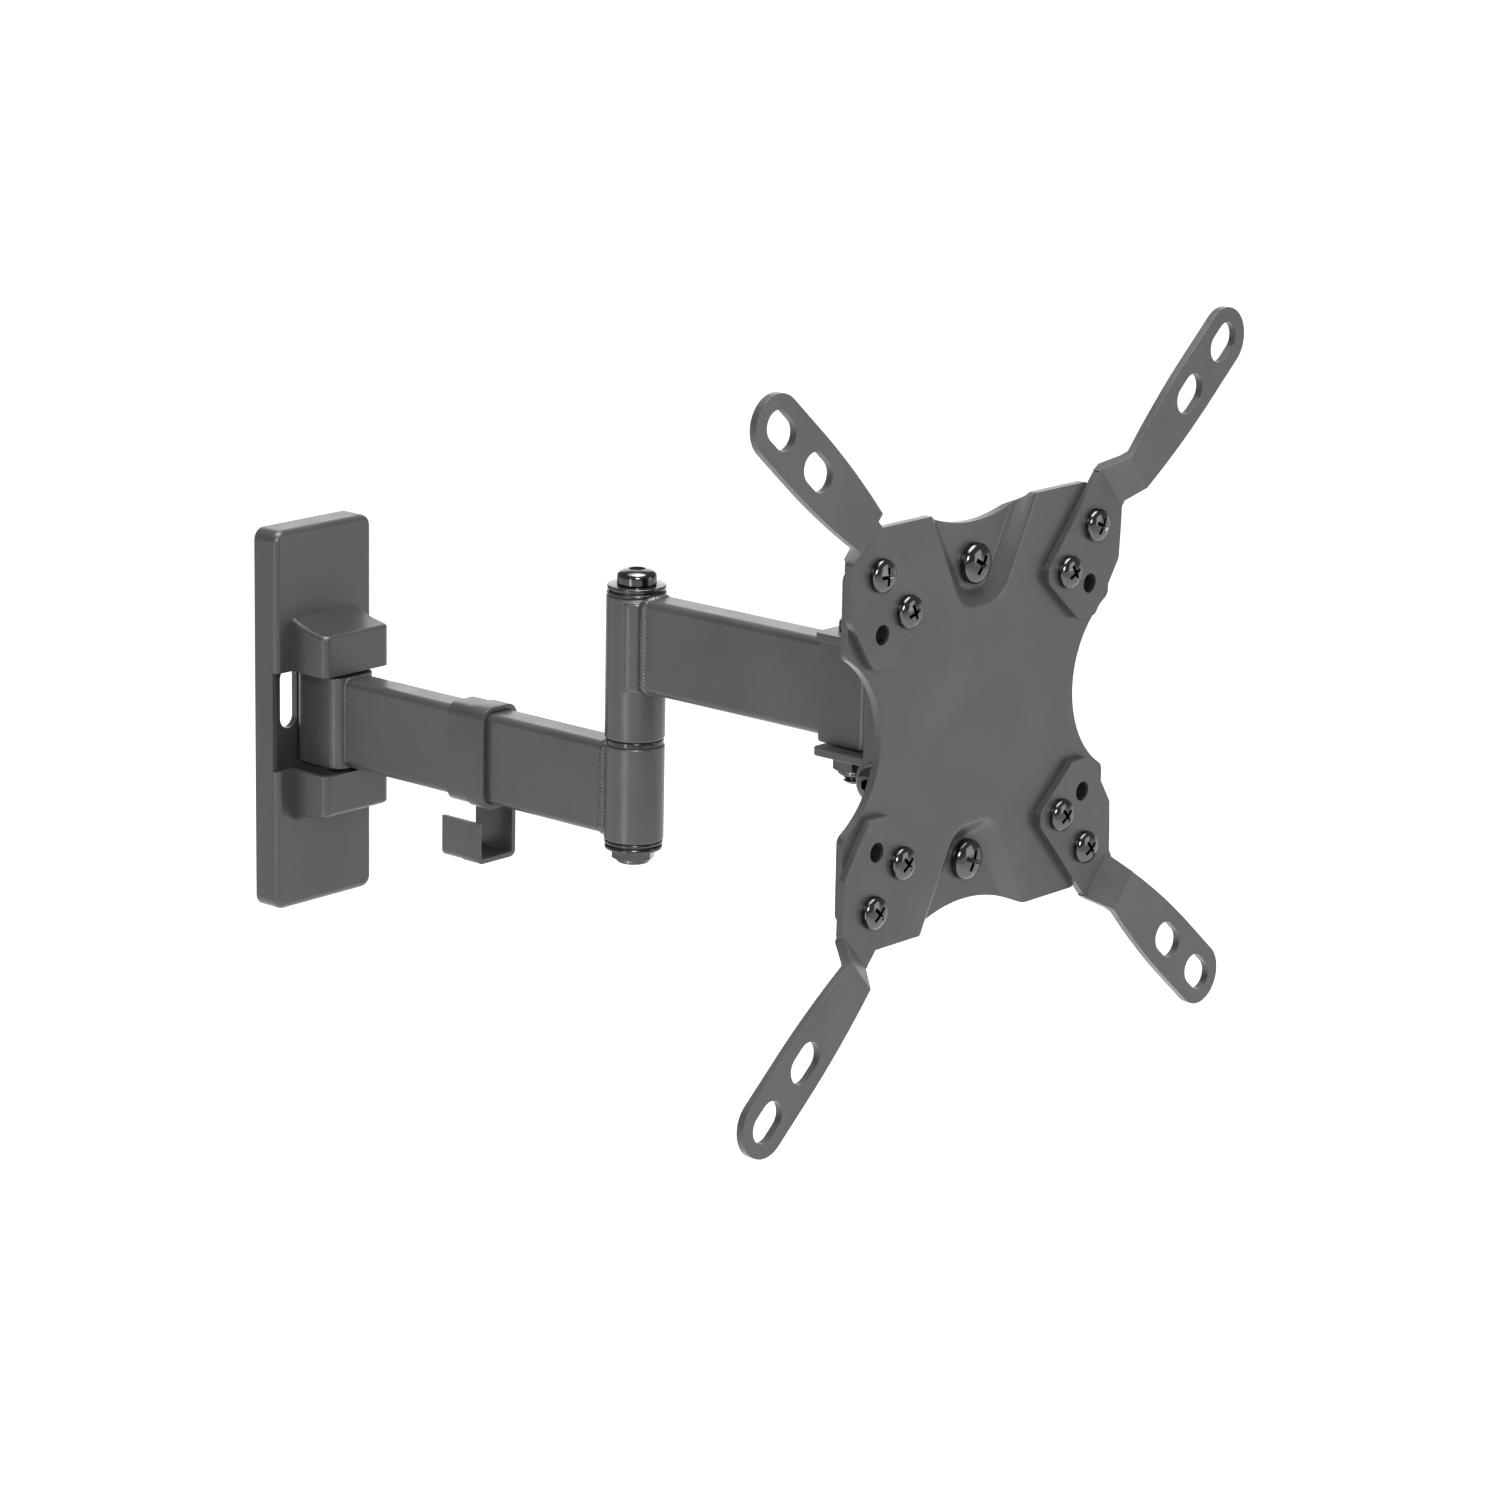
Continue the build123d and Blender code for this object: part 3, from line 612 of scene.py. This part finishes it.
hook_corners = [(back_leg, top_z), (back_leg, clip_low[2]), (clip_low[0], clip_low[2]), (clip_low[0], lip_z)]
hook_path = rounded_path(hook_corners, 2.3 * MM, False)
shy = 0.25 * MM  # how far the inner half of the hook lies below the outer half
hook_front = [(near, -shy), (step_y, -shy), (step_y, 0.0), (far, 0.0)]
hook_section = soft_section(hook_front + [(far, -thick), (near, -thick)], 0.12 * MM)
hook = carried("cable_clip_hook", hook_path, hook_section, False)
for name, mesh in (("cable_clip_band", band), ("cable_clip_hook", hook)):
    piece = add_piece(name, mesh, "cable_clip", plastic)
    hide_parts("cable_clip")
    print(name, "faces", len(mesh.polygons))

# %% [markdown]
# ## Screws placed by Geometry Nodes
# The adapters' eight screws are one screw repeated, each stopped by the driver at its own
# angle. A Geometry Nodes tree puts the screw on a set of points and turns each copy by a seeded
# random angle, so that no two recesses line up.


# %% The screw-placing tree
def tree_input(tree, name, kind, value=None):
    """A named input on a node tree."""
    socket = tree.interface.new_socket(name=name, in_out="INPUT", socket_type=kind)
    if value is not None:
        socket.default_value = value
    return socket


def screw_tree():
    """Copies of one screw on points, each turned about its own axis."""
    tree = bpy.data.node_groups.new("screws_on_points", "GeometryNodeTree")
    tree_input(tree, "Points", "NodeSocketGeometry")
    tree_input(tree, "Screw", "NodeSocketObject")
    tree_input(tree, "Largest Turn", "NodeSocketFloat", 1.57)
    tree_input(tree, "Seed", "NodeSocketInt", 3)
    tree_input(tree, "Plating", "NodeSocketMaterial")
    tree.interface.new_socket(name="Screws", in_out="OUTPUT", socket_type="NodeSocketGeometry")
    given = add_node(tree, "NodeGroupInput").outputs
    info = add_node(tree, "GeometryNodeObjectInfo", inputs={"Object": given["Screw"]})
    turn = add_node(
        tree,
        "FunctionNodeRandomValue",
        settings={"data_type": "FLOAT"},
        inputs={"Max": given["Largest Turn"], "Seed": given["Seed"]},
    )
    about = add_node(tree, "ShaderNodeCombineXYZ", inputs={"X": math.pi / 2, "Y": 0.0, "Z": 0.0})
    tree.links.new(turn.outputs[1], about.inputs["Y"])
    copies = add_node(
        tree,
        "GeometryNodeInstanceOnPoints",
        inputs={
            "Points": given["Points"],
            "Instance": info.outputs["Geometry"],
            "Rotation": about.outputs["Vector"],
        },
    )
    solid = add_node(tree, "GeometryNodeRealizeInstances", inputs={"Geometry": copies.outputs["Instances"]})
    plated = add_node(
        tree,
        "GeometryNodeSetMaterial",
        inputs={"Geometry": solid.outputs["Geometry"], "Material": given["Plating"]},
    )
    add_node(tree, "NodeGroupOutput", inputs={"Screws": plated.outputs["Geometry"]})
    return tree


def run_tree(name, tree, start_mesh, values):
    """The mesh that a tree makes from a start mesh and its named inputs."""
    carrier = bpy.data.objects.new(name, start_mesh)
    bpy.context.collection.objects.link(carrier)
    modifier = carrier.modifiers.new("make", "NODES")
    modifier.node_group = tree
    names = {item.name: item.identifier for item in tree.interface.items_tree if item.item_type == "SOCKET"}
    for key, value in values.items():
        modifier[names[key]] = value
    mesh = bpy.data.meshes.new_from_object(
        carrier.evaluated_get(bpy.context.evaluated_depsgraph_get())
    )
    mesh.name = name
    bpy.data.objects.remove(carrier)
    return mesh


# %% Screws in the plate
place_screws = screw_tree()


def solid_boxes(node):
    """The low and high corners of each separate solid in a CAD node, in a fixed order."""
    work = bmesh.new()
    work.from_mesh(nodes[node].data)
    bmesh.ops.remove_doubles(work, verts=work.verts, dist=0.002 * MM)
    left = set(work.verts)
    found = []
    while left:
        island = [left.pop()]
        for vert in island:
            for edge in vert.link_edges:
                other = edge.other_vert(vert)
                if other in left:
                    left.remove(other)
                    island.append(other)
        low = Vector([min(v.co[i] for v in island) for i in range(3)])
        high = Vector([max(v.co[i] for v in island) for i in range(3)])
        found.append((low, high))
    work.free()
    return sorted(found, key=lambda pair: (round(pair[0].x, 5), round(pair[0].z, 5)))


def screw_group(node, mesh, head_h, seed):
    """The screws of one CAD group node, made by the tree."""
    boxes = solid_boxes(node)
    seats = [((low.x + high.x) / 2, low.y + head_h, (low.z + high.z) / 2) for low, high in boxes]
    points = bpy.data.meshes.new(node + "_seats")
    points.from_pydata(seats, [], [])
    model = bpy.data.objects.new("model_screw", mesh)
    bpy.context.collection.objects.link(model)
    made = run_tree(
        node + "_finished", place_screws, points, {"Screw": model, "Seed": seed, "Plating": nickel}
    )
    bpy.data.objects.remove(model)
    smooth_by_angle(made, 38)
    piece = add_piece(node + "_finished", made, body_of_node[node], nickel)
    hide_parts(node)
    print(node, "copies", len(seats), "faces", len(made.polygons))
    return piece


screw_group("adapter_screws", m5, M5_HEAD[1], 5)
screw_group("centre_screws", m6, M6_HEAD[1], 8)

# %% [markdown]
# ## Bolts and lock nuts
# The joints turn on button-head bolts with a hexagon socket, held by lock nuts: a hexagon whose
# corners are turned off, with a round collar that grips a nylon ring. Each is built at the
# origin and then set on the axis that its CAD node gives.


# %% Bolts
def bolt_piece(node, axis, head, shank_r, pitch, socket):
    """A button-head bolt on a CAD bolt's place; its head points along axis."""
    low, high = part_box(node)
    way = Vector(axis)
    middle = (Vector(low) + Vector(high)) / 2
    reach = abs((Vector(high) - Vector(low)).dot(way)) / 2
    seat = middle + way * (reach - head[1])
    shank = (shank_r, 2 * reach - head[1])
    mesh = screw_mesh(node + "_finished", head, shank, pitch, ("hex", socket), side=0.5, crown=3.2)
    piece = add_piece(
        node + "_finished", set_on(mesh, axis, seat), body_of_node[node], nickel
    )
    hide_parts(node)
    print(node, "length in mm", round(2 * reach / MM, 1))
    return piece


bolt_piece("elbow_bolt", (0, 0, 1), (6.3 * MM, 5.0 * MM), 4.0 * MM, 1.25 * MM, 5.0 * MM)
bolt_piece("swivel_bolt", (0, 0, 1), (6.3 * MM, 4.5 * MM), 4.0 * MM, 1.25 * MM, 5.0 * MM)
bolt_piece("tilt_bolt", (-1, 0, 0), (5.2 * MM, 3.6 * MM), 3.0 * MM, 1.0 * MM, 4.0 * MM)


# %% Lock nuts
def cut(mesh, cutter, operation="DIFFERENCE"):
    """One mesh cut by or joined to another, as a new mesh; neither stays in the scene."""
    target = bpy.data.objects.new("target", mesh)
    tool = bpy.data.objects.new("tool", cutter)
    for each in (target, tool):
        bpy.context.collection.objects.link(each)
    boolean = target.modifiers.new("cut", "BOOLEAN")
    boolean.object = tool
    boolean.operation = operation
    boolean.solver = "EXACT"
    result = bpy.data.meshes.new_from_object(
        target.evaluated_get(bpy.context.evaluated_depsgraph_get())
    )
    for each in (target, tool):
        bpy.data.objects.remove(each)
    return result


def nut_piece(node, axis, across, bore):
    """A lock nut that fills a CAD nut's place; its collar points along axis."""
    low, high = (Vector(corner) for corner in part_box(node))
    way = Vector(axis)
    tall = abs((high - low).dot(way))
    seat = (low + high) / 2 - way * (tall / 2)
    corner = across / math.sqrt(3)
    hexagon = turned("hexagon", [(0.0, corner), (tall * 0.7, corner)], even_angles(6))
    crown = [(-0.01 * MM, corner * 0.9), (corner * 0.09, corner * 1.02)]
    crown += [(tall * 0.7 - corner * 0.09, corner * 1.02), (tall * 0.7 + 0.01 * MM, corner * 0.88)]
    body = cut(hexagon, turned("crown", crown, even_angles(96)), "INTERSECT")
    collar_r = across * 0.43
    collar = [(tall * 0.6, collar_r), (tall * 0.88, collar_r), (tall * 0.96, collar_r * 0.95)]
    collar += [(tall, collar_r * 0.84)]
    whole = cut(body, turned("collar", collar, even_angles(48)), "UNION")
    whole = cut(whole, turned("bore", [(-MM, bore), (tall + MM, bore)], even_angles(48)))
    smooth_by_angle(whole, 30)
    piece = add_piece(
        node + "_finished", set_on(whole, axis, seat), body_of_node[node], nickel
    )
    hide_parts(node)
    print(node, "faces", len(whole.polygons))
    return piece


nut_piece("wall_pivot_nut", (0, 0, -1), 13 * MM, 4.0 * MM)
nut_piece("elbow_nut", (0, 0, -1), 12.4 * MM, 4.0 * MM)
nut_piece("swivel_nut", (0, 0, -1), 13 * MM, 4.0 * MM)
nut_piece("tilt_nut", (1, 0, 0), 10 * MM, 3.0 * MM)
nut_piece("centre_nut_upper", (0, 1, 0), 10 * MM, 3.0 * MM)
nut_piece("centre_nut_lower", (0, 1, 0), 10 * MM, 3.0 * MM)

# %% [markdown]
# ## Spare tapped holes
# Each adapter has one spare hole over a tapped hole in the plate. The plate is only 2.5 mm
# thick, so the hole is drawn out into a collar behind it to give the thread enough turns. The
# thread is bare, oiled steel, but it is coloured near black with a weak reflection: painted
# shade that stands for the darkness deep inside the hole. Each collar is a hollow ring whose
# inner wall steps in and out like the thread.


# %% Tapped collars
def painted_hole_shade():
    """Bare cut steel with a film of oil, coloured near black with a weak reflection: painted shade for the
    darkness inside a hole.
    """
    # the near-black colour 030303 is painted shade for the inside of the hole, not the steel's own colour
    material, tree, shader, where = new_surface("cut_steel_painted_hole_shade", "030303", 0.0, 0.6)
    tree.links.new(vary(tree, where, 1.0, 0.5, 0.7), shader.inputs["Roughness"])
    # the weak reflection is painted shade as well, keeping the hole's inside black
    shader.inputs["Specular IOR Level"].default_value = 0.15
    return material


plate_low, plate_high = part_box("vesa_plate")
foot_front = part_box("adapter_screws")[0][1] + M5_HEAD[1]
plate_middle_z = (plate_low[2] + plate_high[2]) / 2
spare_x, spare_z = 48.5 * MM, 32.3 * MM
collar_long, collar_r, bore_r = 6.8 * MM, 2.98 * MM, 2.45 * MM
thread_step, thread_depth = 0.2 * MM, 0.25 * MM
coil = []
for k in range(1, int(collar_long / MM * 5) - 1):
    coil.append((k * thread_step, bore_r + (thread_depth if k % 4 < 2 else 0.0)))
collar_rings = [(thread_step, collar_r), (collar_long, collar_r)] + list(reversed(coil))
# the collars' material paints the shade inside the spare holes
collar_shade_paint = painted_hole_shade()
work = bmesh.new()
for side_x in (-1, 1):
    for side_z in (-1, 1):
        collar = turned("collar", collar_rings, even_angles(32), hollow=True)
        spot = (side_x * spare_x, foot_front + 0.5 * MM, plate_middle_z + side_z * spare_z)
        work.from_mesh(set_on(collar, (0, 1, 0), spot))
collars = mesh_from(work, "spare_hole_collars")
smooth_by_angle(collars, 30)
add_piece("spare_hole_collars", collars, "tv_plate", collar_shade_paint)
print("collars faces", len(collars.polygons))

# %% [markdown]
# ## Weld beads
# The tubes are gas-metal welded to the sleeves and the pivot block before painting. The welder
# moves in short steps, and each step freezes as a scale on the one before, about a millimetre
# on. A Geometry Nodes tree walks a path, swells and pinches a round bead by that step, and
# sweeps it into one closed mesh, so a bead follows any seam that is given as a path.


# %% The weld tree
def maths(tree, operation, first, second=0.0):
    """The result of one Math node on values or sockets."""
    node = add_node(tree, "ShaderNodeMath", {"operation": operation}, {0: first, 1: second})
    return node.outputs["Value"]


def weld_tree():
    """A rippled bead swept along a closed path."""
    tree = bpy.data.node_groups.new("weld_bead", "GeometryNodeTree")
    tree_input(tree, "Path", "NodeSocketGeometry")
    tree_input(tree, "Bead Radius", "NodeSocketFloat", 0.9 * MM)
    tree_input(tree, "Ripple Step", "NodeSocketFloat", 1.1 * MM)
    tree_input(tree, "Ripple Depth", "NodeSocketFloat", 0.16)
    tree_input(tree, "Finish", "NodeSocketMaterial")
    tree.interface.new_socket(name="Bead", in_out="OUTPUT", socket_type="NodeSocketGeometry")
    given = add_node(tree, "NodeGroupInput").outputs
    curve = add_node(tree, "GeometryNodeMeshToCurve", inputs={"Mesh": given["Path"]})
    fine = maths(tree, "DIVIDE", given["Ripple Step"], 6.0)
    walk = add_node(
        tree,
        "GeometryNodeResampleCurve",
        settings={"mode": "LENGTH"},
        inputs={"Curve": curve.outputs["Curve"], "Length": fine},
    )
    along = add_node(tree, "GeometryNodeSplineParameter")
    steps = maths(tree, "DIVIDE", along.outputs["Length"], given["Ripple Step"])
    phase = maths(tree, "FRACT", steps)
    pinch = maths(tree, "MULTIPLY", phase, given["Ripple Depth"])
    uneven = add_node(tree, "ShaderNodeTexNoise", inputs={"Scale": grain_scale(4.0), "Detail": 1.0})
    wander = add_node(
        tree,
        "ShaderNodeMapRange",
        inputs={"Value": uneven.outputs["Fac"], "To Min": 0.8, "To Max": 1.2},
    )
    swell = maths(tree, "SUBTRACT", wander.outputs["Result"], pinch)
    width = maths(tree, "MULTIPLY", swell, given["Bead Radius"])
    profile = add_node(tree, "GeometryNodeCurvePrimitiveCircle", inputs={"Resolution": 14, "Radius": 1.0})
    sweep = add_node(
        tree,
        "GeometryNodeCurveToMesh",
        inputs={
            "Curve": walk.outputs["Curve"],
            "Profile Curve": profile.outputs["Curve"],
            "Scale": width,
        },
    )
    solid = add_node(tree, "GeometryNodeRealizeInstances", inputs={"Geometry": sweep.outputs["Mesh"]})
    painted = add_node(
        tree,
        "GeometryNodeSetMaterial",
        inputs={"Geometry": solid.outputs["Geometry"], "Material": given["Finish"]},
    )
    add_node(tree, "NodeGroupOutput", inputs={"Bead": painted.outputs["Geometry"]})
    return tree


# %% Paths round the tubes
def tube_loop(node, inset, depth_at):
    """Closed path round a tube's outline, with y given for each x by depth_at."""
    low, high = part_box(node)
    half_w = (high[0] - low[0]) / 2 - inset
    half_h = (high[2] - low[2]) / 2 - inset
    middle = (high[2] + low[2]) / 2
    corner = 2.5 * MM
    points = []
    for quarter, (sx, sz) in enumerate(((1, 1), (-1, 1), (-1, -1), (1, -1))):
        for k in range(7):
            turn = math.pi / 2 * (quarter + k / 6)
            x = sx * (half_w - corner) + corner * math.cos(turn)
            z = sz * (half_h - corner) + corner * math.sin(turn)
            points.append((x, depth_at(x), middle + z))
    dense = []
    for a, b in zip(points, points[1:] + points[:1]):
        count = max(1, round((Vector(b) - Vector(a)).length / (0.6 * MM)))
        for k in range(count):
            x = a[0] + (b[0] - a[0]) * k / count
            z = a[2] + (b[2] - a[2]) * k / count
            dense.append((x, depth_at(x), z))
    mesh = bpy.data.meshes.new(node + "_seam")
    mesh.from_pydata(dense, [(i, (i + 1) % len(dense)) for i in range(len(dense))], [])
    return mesh


weld = weld_tree()
sleeve_low, sleeve_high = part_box("inner_sleeve")
elbow_y = (sleeve_low[1] + sleeve_high[1]) / 2
sleeve_r = (sleeve_high[1] - sleeve_low[1]) / 2
block_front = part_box("pivot_block")[0][1]



def sleeve_face(side):
    """Depth of the elbow sleeve's surface for each x, side +1 towards the wall."""
    return lambda x: elbow_y + side * math.sqrt(sleeve_r**2 - x**2)


# node, body, bead radius and inset in mm, ripple depth, and the seam's depth
seams = {
    "weld_inner_elbow": ("inner_tube", "inner_arm", 2.0, 1.0, 0.12, sleeve_face(1)),
    "weld_outer_elbow": ("outer_tube", "outer_arm", 1.9, 1.0, 0.1, sleeve_face(-1)),
    "weld_pivot_block": ("inner_tube", "inner_arm", 0.8, 0.4, 0.16, lambda x: block_front),
}
for name, (node, body, bead_mm, inset_mm, ripple, depth_at) in seams.items():
    seam = tube_loop(node, inset_mm * MM, depth_at)
    given = {"Bead Radius": bead_mm * MM, "Ripple Depth": ripple, "Finish": coat}
    bead = run_tree(name, weld, seam, given)
    smooth_by_angle(bead, 60)
    add_piece(name, bead, body, coat)
    print(name, "faces", len(bead.polygons))

# %% [markdown]
# ## Wide weld pass beside the outer tube
# The outer tube carries the television's weight to its sleeve, so its seam gets a second, wider
# pass that lies nearly flat. Each side is a low pad that hugs the sleeve: a grid wrapped round
# it, proud in the middle and sinking under the surface at its edges, closed behind.


# %% Weld pads
PAD_START, PAD_STOP = 74.0, 36.0  # degrees round the sleeve from straight out
PAD_PROUD, PAD_THICK, PAD_DROP = 0.75 * MM, 1.0 * MM, 0.3 * MM


def weld_pad(side, low_z, high_z):
    """Adds to work a low pad on the elbow sleeve; side -1 is the left."""
    around, up = 24, 64
    rows = []
    for j in range(up + 1):
        v = j / up
        row = []
        for i in range(around + 1):
            u = i / around
            edge = max(abs(2 * u - 1) ** 5, abs(2 * v - 1) ** 22)
            ripple = 0.06 * math.sin(v * 90 + 5 * u) * u + 0.05 * math.sin(v * 23 + 2)
            radius = sleeve_r + PAD_PROUD * (1 - 1.9 * edge) + ripple * MM
            turn = math.radians(PAD_START + (PAD_STOP - PAD_START) * u)
            # the corners away from the tube are rounded
            z = low_z + (high_z - low_z) * (0.5 + (v - 0.5) * (1 - 0.05 * (1 - u) ** 4))
            x, y = side * radius * math.sin(turn), elbow_y - radius * math.cos(turn)
            row.append(work.verts.new((x, y, z)))
        rows.append(row)
    rim = rows[0] + [row[-1] for row in rows[1:]] + list(reversed(rows[-1][:-1]))
    rim += [row[0] for row in reversed(rows[1:-1])]
    for one, two in zip(rows, rows[1:]):
        for i in range(around):
            work.faces.new((one[i], one[i + 1], two[i + 1], two[i]))
    inner = []
    for vert in rim:
        out = Vector((vert.co.x, vert.co.y - elbow_y, 0.0)).normalized()
        inner.append(work.verts.new(vert.co - out * PAD_THICK))
    for i in range(len(rim)):
        j = (i + 1) % len(rim)
        work.faces.new((rim[j], rim[i], inner[i], inner[j]))
    heart = work.verts.new(sum((vert.co for vert in inner), Vector()) / len(inner))
    for i in range(len(inner)):
        work.faces.new((inner[(i + 1) % len(inner)], inner[i], heart))


work = bmesh.new()
outer_low, outer_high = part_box("outer_tube")
for side in (-1, 1):
    weld_pad(side, outer_low[2] - PAD_DROP, outer_high[2] - PAD_DROP)
bmesh.ops.recalc_face_normals(work, faces=work.faces)
pads = mesh_from(work, "weld_pads")
smooth_by_angle(pads, 50)
add_piece("weld_pads", pads, "outer_arm", coat)
print("pads faces", len(pads.polygons))

# %% [markdown]
# ## Floor, light and camera
# The product hangs in a white studio over a floor half a metre below it. A soft box overhead
# whitens every upward face. A large one behind on the right and one in front on the right fill
# the shadows. A small one high at the front left draws lines along the upright edges, and a tall
# strip on the left draws a streak down the round sleeves. A wide sun washes the floor white. The
# camera is a long lens a metre and a half away, a little above the product.


# %% Floor
def painted_floor():
    """Matt white paint, very faintly uneven."""
    material, tree, shader, where = new_surface("matt_white_studio_paint", "F4F4F4", 0.0, 0.9)
    tree.links.new(mottle(tree, where, 400.0, "F2F2F2", "F6F6F6"), shader.inputs["Base Color"])
    return material


floor_mesh = bpy.data.meshes.new("studio_floor")
reach = 200.0
floor_z = cad_low[2] - 0.55
corners = [(x * reach, y * reach, floor_z) for x, y in ((-1, -1), (1, -1), (1, 1), (-1, 1))]
floor_mesh.from_pydata(corners, [], [(0, 1, 2, 3)])
floor_mesh.materials.append(painted_floor())
floor = bpy.data.objects.new("studio_floor", floor_mesh)
bpy.context.collection.objects.link(floor)
print("floor at", round(floor_z, 3))

# %% Lights
centre = Vector([(a + b) / 2 for a, b in zip(cad_low, cad_high)])


def soft_box(name, place, size, power, tall=None):
    """An area light that faces the object's middle, square or as tall as given."""
    data = bpy.data.lights.new(name, "AREA")
    data.shape = "RECTANGLE"
    data.size = size
    data.size_y = tall or size
    data.energy = power
    lamp = bpy.data.objects.new(name, data)
    bpy.context.collection.objects.link(lamp)
    lamp.location = centre + Vector(place)
    lamp.rotation_mode = "QUATERNION"
    lamp.rotation_quaternion = (-Vector(place)).to_track_quat("-Z", "Y")


soft_box("overhead_box", (0.0, -0.1, 1.0), 0.7, 15.0)
soft_box("sweep_box", (1.5, 1.5, 0.75), 1.4, 10.0)
soft_box("front_box", (0.9, -1.6, 0.3), 0.9, 7.0)
soft_box("shoulder_box", (-1.05, -1.15, 0.75), 0.45, 26.0)
soft_box("left_strip", (-1.5, -0.15, -0.3), 0.22, 6.0, tall=1.3)
sun = bpy.data.lights.new("floor_wash", "SUN")
sun.energy = 3.0
sun.angle = math.radians(60)
bpy.context.collection.objects.link(bpy.data.objects.new("floor_wash", sun))

world = bpy.data.worlds.new("white_studio")
world.use_nodes = True
sky = world.node_tree.nodes["Background"].inputs
sky["Color"].default_value = (1.0, 1.0, 1.0, 1.0)
sky["Strength"].default_value = 0.35
bpy.context.scene.world = world
bpy.context.scene.view_settings.view_transform = "Standard"

# %% Camera
AZIMUTH, ELEVATION, ROLL = math.radians(-49.0), math.radians(14.6), math.radians(1.1)
DISTANCE = 1.574
AIM_RIGHT, AIM_UP = 0.0368, -0.0339
back = Vector(
    (
        math.sin(AZIMUTH) * math.cos(ELEVATION),
        -math.cos(AZIMUTH) * math.cos(ELEVATION),
        math.sin(ELEVATION),
    )
)
right = Vector((math.cos(AZIMUTH), math.sin(AZIMUTH), 0.0))
up = back.cross(right)
rolled_right = math.cos(ROLL) * right + math.sin(ROLL) * up
rolled_up = math.cos(ROLL) * up - math.sin(ROLL) * right
lens = bpy.data.cameras.new("product_camera")
lens.lens = 121.0
camera = bpy.data.objects.new("product_camera", lens)
bpy.context.collection.objects.link(camera)
turned_axes = Matrix((rolled_right, rolled_up, back)).transposed()
camera.matrix_world = Matrix.Translation(
    centre + rolled_right * AIM_RIGHT + rolled_up * AIM_UP + back * DISTANCE
) @ turned_axes.to_4x4()
bpy.context.scene.camera = camera
print("camera at", [round(v, 3) for v in camera.location])
